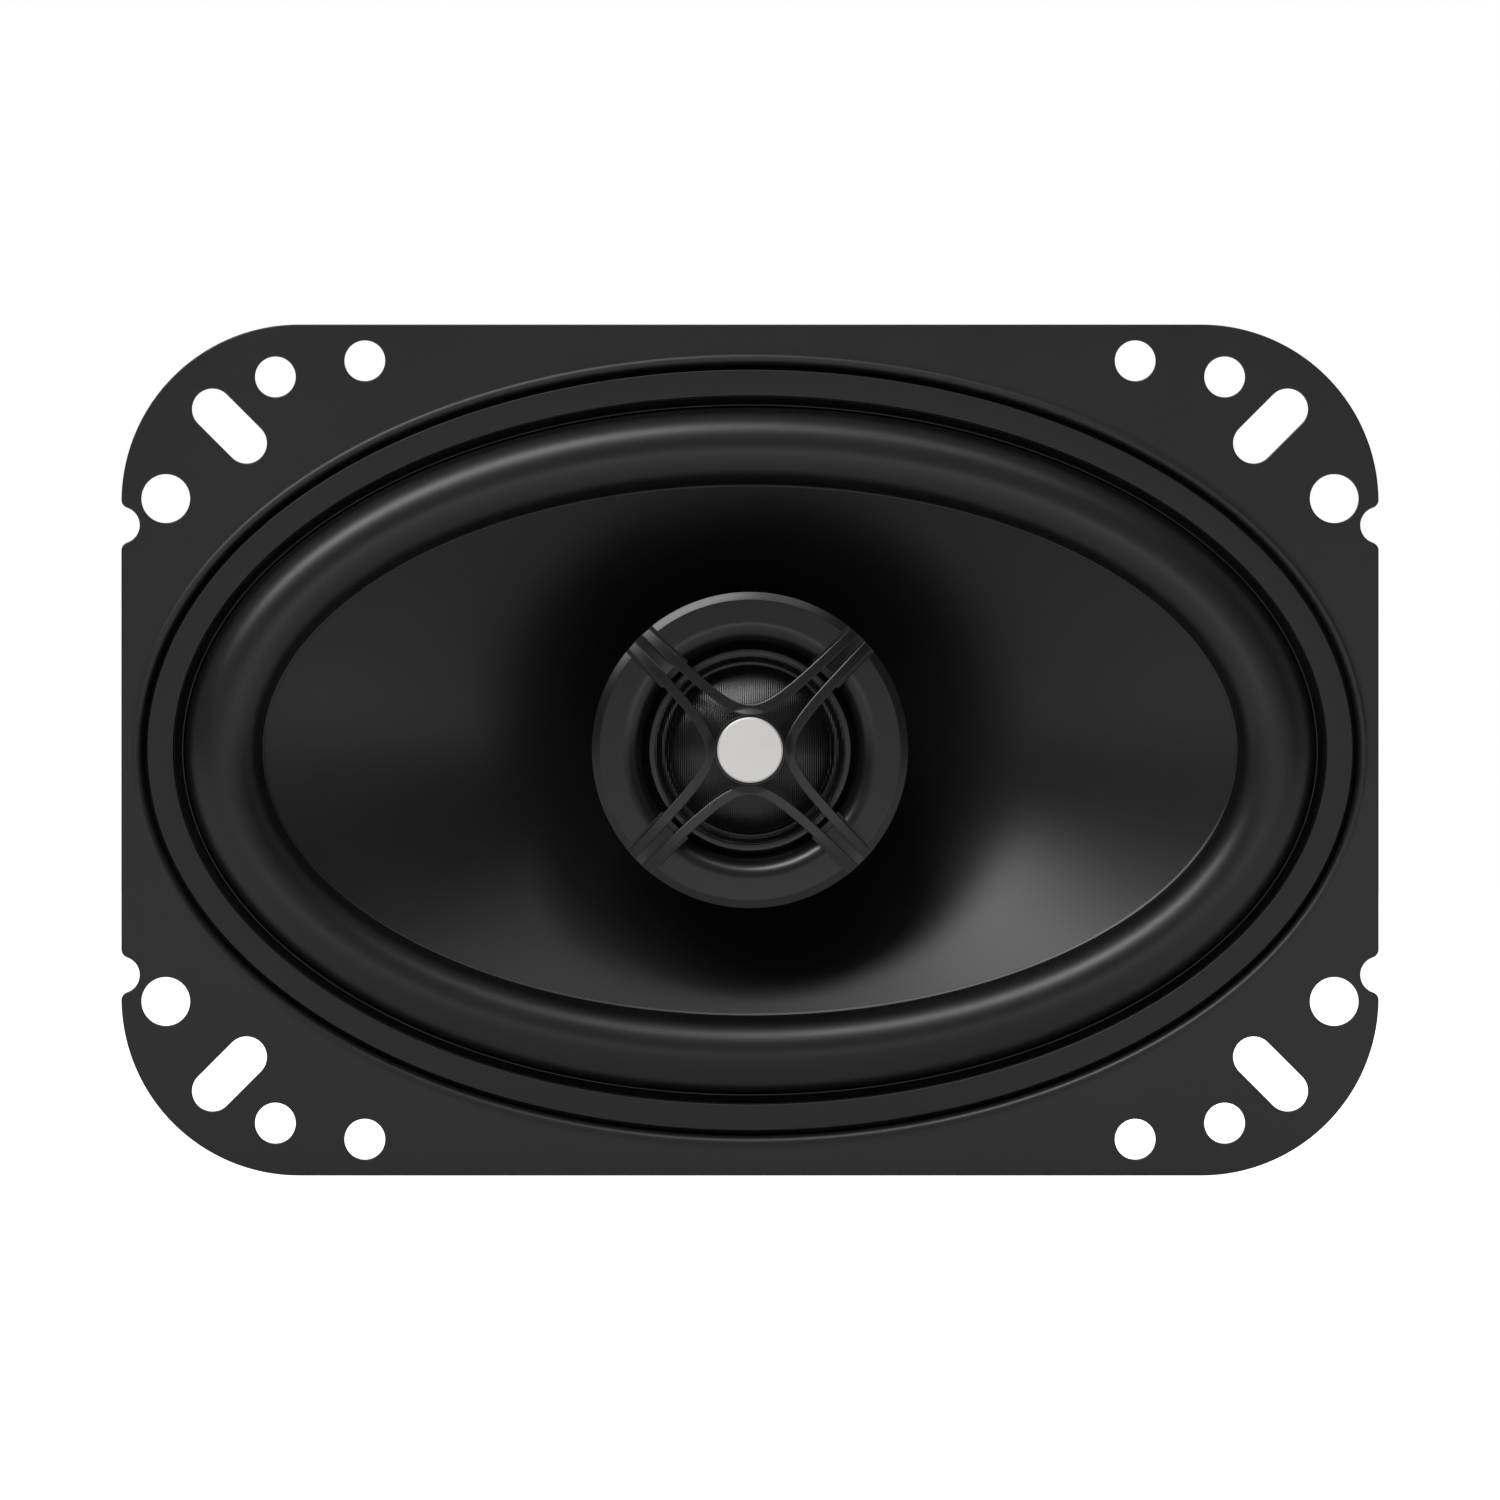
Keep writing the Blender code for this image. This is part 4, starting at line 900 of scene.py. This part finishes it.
for side, name, shade, colour in (
    (-1, "negative", "black", (0.012, 0.012, 0.012)),
    (1, "positive", "red", (0.4, 0.018, 0.014)),
):
    z = side * WIRE_OFF_MIDDLE
    route = [
        (0.0, 6.5, z),
        (0.0, 20.0, z),
        (0.0, 36.0, z),
        (0.0, 50.0, z),
        (-1.2, 52.6, z),
        (-4.4, 53.7, z),
        (-8.0, 53.0, z),
        (-11.0, 51.0, z),
        (-15.0, 50.1, z),
        (-24.0, 50.1, z),
        (-31.0, 50.3, z),
        (-34.9, 48.7, z),
        (-36.3, 45.2, 1.1 * z),
        (-36.5, 39.0, 1.5 * z),
        (-36.6, 33.0, 3.0 * z),
        (-38.2, 28.6, 5.3 * z),
        (-42.5, 27.0, 7.2 * z),
        (-46.8, 26.9, 7.9 * z),
        (-49.6, 26.0, 7.6 * z),
    ]
    flex = wire_piece(f"insulated_wire_{name}", route, 0.5, sides=16, spacing=0.8)
    insulation = finish(f"{shade}_wire_insulation", colour, 0.38, grain=1.2, depth=0.01, drift=0.1)
    flex.data.materials.append(insulation)
    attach(flex, "frame")
    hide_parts(f"tweeter_wire_{name}")


# ---- Tweeter post ----------------------------------------------------------------------------------------
# A moulded hollow column stands on the pole and carries the tweeter. Its threaded tail runs through the
# pole's bore to a plated washer and a hexagon nut behind the back plate.

THREAD_CREST, THREAD_ROOT, THREAD_FRONT, THREAD_STEP = 4.0, 3.7, 44.9, 0.5

moulded = finish(
    "black_moulded_plastic", (0.0045, 0.0045, 0.0048), 0.28,
    grain=0.18, depth=0.0015, drift=0.08, gloss_drift=0.02,
)
column = [(2.6, 8.3, 0.2), (9.0, 8.3, 0.3), (9.0, 9.6, 0.3), (6.0, 10.4, 0.6), (5.4, 12.0, 1.0)]
column += [(5.4, 24.0, 1.5), (8.0, 26.4, 0.4), (8.0, 27.6, 0.2), (4.0, 27.6, 0.2)]
for step in range(1, 13):
    column.append((THREAD_ROOT if step % 2 else THREAD_CREST, THREAD_FRONT + THREAD_STEP * step, 0.05))
column += [(3.6, 51.5, 0.1), (2.6, 51.5, 0.1)]
post = turned("post_column", column, count=72)
post.data.materials.append(moulded)
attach(post, "frame")
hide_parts("tweeter_post")

washer_profile = [(4.3, 49.4, 0.1), (8.4, 49.4, 0.1), (8.4, 49.9, 0.15), (4.3, 49.9, 0.1)]
washer = turned("plated_washer", washer_profile, count=72)
washer.data.materials.append(plated)
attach(washer, "frame")
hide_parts("post_washer")

NUT_CORNER, NUT_BORE, NUT_FRONT, NUT_REAR = 7.0, 4.3, 50.1, 51.5
nut = prism("hexagon_nut", arc(0.0, 0.0, NUT_CORNER, 30, 330, 5), NUT_FRONT, NUT_REAR, sharp=20)
chamfer = [(0.2, 49.0), (6.9, 49.0), (6.9, 50.9), (6.1, NUT_REAR), (6.1, 52.5), (0.2, 52.5)]
nut_blank = skin("nut_chamfer", [ring(r, r, y, 72) for r, y in chamfer], closed=False)
nut = machined(nut, nut_blank, "INTERSECT", sharp=20)
nut = machined(nut, prism("nut_bore", circle(0.0, 0.0, NUT_BORE, 72), 45, 60), sharp=20)
nut.data.materials.clear()
nut.data.materials.append(plated)
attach(nut, "frame")
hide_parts("post_nut")


# ---- Tweeter housing -------------------------------------------------------------------------------------
# A moulded black cup: a flat bezel with a chamfered rim, a throat that curves in to the dome, and behind it
# the pocket for the tweeter's motor. Each arm of the guard sits on a pad in one of four channels across the
# bezel.

BEZEL_FRONT, THROAT_OUTER, THROAT_ROUND = -6.0, 15.9, 2.55
CHANNEL_SIDE, CHANNEL_FLOOR, PAD_DEPTH = 2.3, BEZEL_FRONT + 0.9, 1.6

housing_profile = [(18.5, BEZEL_FRONT), (THROAT_OUTER + 0.15, BEZEL_FRONT)]
for turn in np.linspace(0.0, math.pi / 2, 22):
    fall = THROAT_ROUND * (1 - math.cos(turn))
    housing_profile.append((THROAT_OUTER - THROAT_ROUND * math.sin(turn), BEZEL_FRONT + fall))
housing_profile += [(13.3, -3.1), (13.0, -2.5), (12.7, -3.0), (12.62, -3.05), (12.62, -0.6), (11.7, -0.6)]
housing_profile += [(11.7, 6.0), (2.6, 6.0), (2.6, 8.0), (13.7, 8.0), (14.2, 7.9), (17.5, 5.6), (18.9, 1.6)]
housing_profile += [(19.4, 0.2), (19.6, -1.2), (19.6, -5.42), (19.57, -5.48)]
housing_profile += [(18.64, -5.98), (18.58, BEZEL_FRONT)]
housing = skin("tweeter_bezel_and_cup", [ring(r, r, y, ROUND_POINTS) for r, y in housing_profile], sharp=30)

ARM_TURNS = [math.radians(45 + 90 * index) for index in range(4)]
channels, pads = [], []
for turn in ARM_TURNS:
    out = Vector((math.cos(turn), math.sin(turn)))
    side = Vector((-out.y, out.x)) * CHANNEL_SIDE
    for made, name, start, end, front, rear in (
        (channels, "channel", 12.0, 26.0, -9.0, CHANNEL_FLOOR),
        (pads, "pad", 13.1, 17.0, CHANNEL_FLOOR, CHANNEL_FLOOR + PAD_DEPTH),
    ):
        corners = (out * start - side, out * end - side, out * end + side, out * start + side)
        made.append(prism(name, [tuple(corner) for corner in corners], front, rear))
housing = machined(housing, together("seats", pads), "UNION", sharp=30)
housing = machined(housing, together("channel_cutters", channels), sharp=30)
housing.data.materials.clear()
housing.data.materials.append(moulded)
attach(housing, "frame")
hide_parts("tweeter_housing")


# ---- Tweeter guard ---------------------------------------------------------------------------------------
# A moulded cross over the dome. Each of its four arms is a pair of thin ribs with an open gap between them;
# each rib runs in from the rim, bends round the hub and runs out along the next arm. Over the bezel a web
# joins the pair.

RIB_WIDTH, ARM_SIDE, ARM_FLARE, GUARD_REACH = 1.25, 1.49, 6.04, 19.5
HUB_CONE, HUB_RADIUS, SEAT_RADIUS = 5.3, 4.4, 4.15
RIB_FRONT, RIB_REAR, BEZEL_REACH = -7.72, -6.5, 13.0
WEB_HALF, WEB_FRONT, WEB_REAR, WEB_LENGTH = 1.5, -5.2, -4.9, 5.5


def guard_front(reach):
    """How far forward the ribs' top lies: raised at the hub, nearly flat, then down over the bezel's rim."""
    fall = max(0.0, (reach - BEZEL_REACH) / (GUARD_REACH - BEZEL_REACH))
    rise = max(0.0, HUB_CONE - reach)
    return RIB_FRONT + 0.07 * (reach - 5.0) + 1.2 * fall**2 - 0.36 * rise


def web_front(reach):
    """The web's top: low at the rim, and higher the nearer it comes to the dome."""
    return WEB_FRONT - 1.25 * max(0.0, (GUARD_REACH - reach) / WEB_LENGTH) ** 1.6


def guard_rear(reach):
    """The ribs' underside: clear of the dome, and down in the channels at the bezel."""
    return RIB_REAR + 1.1 * min(1.0, max(0.0, (reach - 5.0) / (BEZEL_REACH - 5.0)))


def web_rear(reach):
    return WEB_REAR


# A bar's section, as shares of its half width and of its bevelled edge; None stands for its rear face.
TOP_SHARES = (-1, -0.6, -0.2, 0.2, 0.6, 1)
BAR_SECTION = [(-1, None), (-1, 0.5), *((share, 0) for share in TOP_SHARES), (1, 0.5), (1, None)]


def bar(name, path, sides, half_width, front, rear, edge):
    """A bar along a flat path. sides are the path's unit normals, and front and rear give its faces' y."""
    rows = []
    for point, side in zip(path, sides):
        row = []
        for share, drop in BAR_SECTION:
            across = share * (half_width - (edge if drop == 0 and abs(share) == 1 else 0.0))
            spot = point + side * across
            reach = min(spot.length, GUARD_REACH)
            spot = spot * (reach / spot.length)
            y = rear(reach) if drop is None else front(reach) + drop * edge
            row.append(Vector((spot.x, y, spot.y)))
        rows.append(row)
    return skin(name, rows, closed=False, sharp=20)


guard_pieces = []
root = math.sqrt(ARM_FLARE)
run = math.log((GUARD_REACH + 0.6 - ARM_SIDE) / root)
for turn in ARM_TURNS:
    out = Vector((math.cos(turn), math.sin(turn)))
    beside = Vector((-out.y, out.x))
    path, sides = [], []
    for s in np.linspace(-run, run, 91):
        u, v = root * math.exp(s), root * math.exp(-s)
        inward = Vector((-v, -u)).normalized()
        spot = Vector((u + ARM_SIDE, v + ARM_SIDE)) + inward * RIB_WIDTH / 2
        path.append(out * spot.x + beside * spot.y)
        sides.append(out * inward.x + beside * inward.y)
    guard_pieces.append(bar("rib", path, sides, RIB_WIDTH / 2, guard_front, guard_rear, edge=0.1))
    web_path = [out * reach for reach in np.linspace(GUARD_REACH - WEB_LENGTH - 0.05, GUARD_REACH + 0.1, 14)]
    web_sides = [beside] * len(web_path)
    guard_pieces.append(bar("web", web_path, web_sides, WEB_HALF, web_front, web_rear, edge=0.02))
hub = [(0.4, -7.4, 0.0), (SEAT_RADIUS, -7.4, 0.05), (SEAT_RADIUS, -8.05, 0.05), (HUB_RADIUS, -8.0, 0.05)]
hub += [(HUB_RADIUS, -6.6, 0.2), (0.4, -6.6, 0.0)]
guard_pieces.append(turned("hub", hub, steps=3, count=96, closed=False))
guard = together("guard_cross", guard_pieces)
guard.data.materials.clear()
guard.data.materials.append(moulded)
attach(guard, "frame")
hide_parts("tweeter_guard")


# ---- Hub disc --------------------------------------------------------------------------------------------
# A plain turned disc of satin aluminium, pressed into the guard's hub, with a bright bevelled edge and fine
# concentric lathe marks.

DISC_RADIUS, DISC_FRONT, DISC_REAR, DISC_BEVEL = 4.07, -8.3, -7.7, 0.2
disc = [(0.05, DISC_FRONT, 0.0), (DISC_RADIUS - DISC_BEVEL, DISC_FRONT, 0.02), (DISC_RADIUS, -8.14, 0.03)]
disc += [(DISC_RADIUS, DISC_REAR, 0.05), (0.05, DISC_REAR, 0.0)]
badge = turned("hub_disc", disc, steps=3, count=96, closed=False, sharp=25)
satin = finish(
    "satin_turned_aluminium", (0.88, 0.865, 0.84), 0.5, metallic=1.0, grain=0.12, depth=0.001, drift=0.02
)
bead_on(satin, rings_height(satin, 0.12), 0.0012)
badge.data.materials.append(satin)
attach(badge, "frame")
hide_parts("hub_badge")


# ---- Tweeter unit ----------------------------------------------------------------------------------------
# A dome of coated silk with its small roll, held by a thin raised clamp ring. Behind it a copper coil moves
# round a neodymium magnet with a pole cap, in a steel cup.

DOME_HEIGHT, DOME_RADIUS, DOME_TOP, DOME_SKIN = 3.4, 10.0, -4.5, 0.25

sphere = (DOME_RADIUS**2 + DOME_HEIGHT**2) / (2 * DOME_HEIGHT)
opening = math.asin(DOME_RADIUS / sphere)
dome_rows = []
for turns, shrink, top in (
    (np.linspace(0.004, opening, 36), 1.0, DOME_TOP),
    (np.linspace(opening, 0.004, 12), 0.99, DOME_TOP + DOME_SKIN),
):
    for turn in turns:
        reach = shrink * sphere * math.sin(turn)
        dome_rows.append(ring(reach, reach, top + sphere * (1 - math.cos(turn)), 96))
dome = skin("silk_dome", dome_rows, closed=False, sharp=60)
silk = finish(
    "coated_black_silk", (0.008, 0.008, 0.0083), 0.27, grain=0.3, depth=0.001, drift=0.15, gloss_drift=0.015
)
bead_on(silk, threads_height(silk, "X", 0.27), 0.011)
dome.data.materials.append(silk)
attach(dome, "tweeter_diaphragm")
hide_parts("tweeter_dome")

silk_roll = [(9.75, -0.95, 0.02), (10.2, -0.75, 0.05), (10.5, -0.5, 0.2), (11.0, -0.55, 0.2)]
silk_roll += [(11.6, -1.1, 0.1), (12.6, -1.2, 0.03), (12.6, -0.9, 0.03), (11.5, -0.85, 0.1)]
silk_roll += [(11.0, -0.3, 0.2), (10.5, -0.25, 0.2), (10.1, -0.5, 0.05), (9.75, -0.7, 0.02)]
roll = turned("silk_roll", silk_roll, count=96, sharp=60)
roll.data.materials.append(silk)
follow(roll)
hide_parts("tweeter_surround")

clamp_profile = [(11.8, -1.3, 0.02), (11.8, -3.7, 0.1), (12.5, -3.7, 0.1), (12.5, -1.3, 0.02)]
clamp = turned("raised_clamp_ring", clamp_profile)
clamp_plastic = finish("black_clamp_ring", (0.012, 0.012, 0.0124), 0.3, grain=0.18, depth=0.002, drift=0.08)
clamp.data.materials.append(clamp_plastic)
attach(clamp, "frame")
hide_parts("tweeter_clamp_ring")

coil = wound("tweeter_winding", inner=9.3, outer=9.6, front=-0.85, rear=1.3, wire=0.12)
coil.data.materials.append(copper)
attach(coil, "tweeter_diaphragm")
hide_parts("tweeter_coil")

nickel = finish("nickel_plate", (0.6, 0.57, 0.52), 0.22, metallic=1.0, grain=0.4, depth=0.002, drift=0.05)
for name, node, radius, front, rear, coat, where in (
    ("pole_cap", "tweeter_pole_cap", 9.0, 0.1, 1.1, plated, "plated_steel"),
    ("neodymium_disc", "tweeter_magnet", 8.6, 1.4, 3.7, nickel, "nickel_plate"),
):
    slab = [(0.1, front, 0.0), (radius, front, 0.25), (radius, rear, 0.25), (0.1, rear, 0.0)]
    made = turned(name, slab, count=72, closed=False)
    made.data.materials.append(coat)
    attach(made, "frame")
    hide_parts(node)

cup_profile = [(0.1, 4.0, 0.0), (9.9, 4.0, 0.3), (9.9, -0.3, 0.1)]
cup_profile += [(11.3, -0.3, 0.2), (11.3, 5.6, 0.5), (0.1, 5.6, 0.0)]
cup = turned("steel_cup", cup_profile, count=72, closed=False)
cup.data.materials.append(plated)
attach(cup, "frame")
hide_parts("tweeter_yoke")
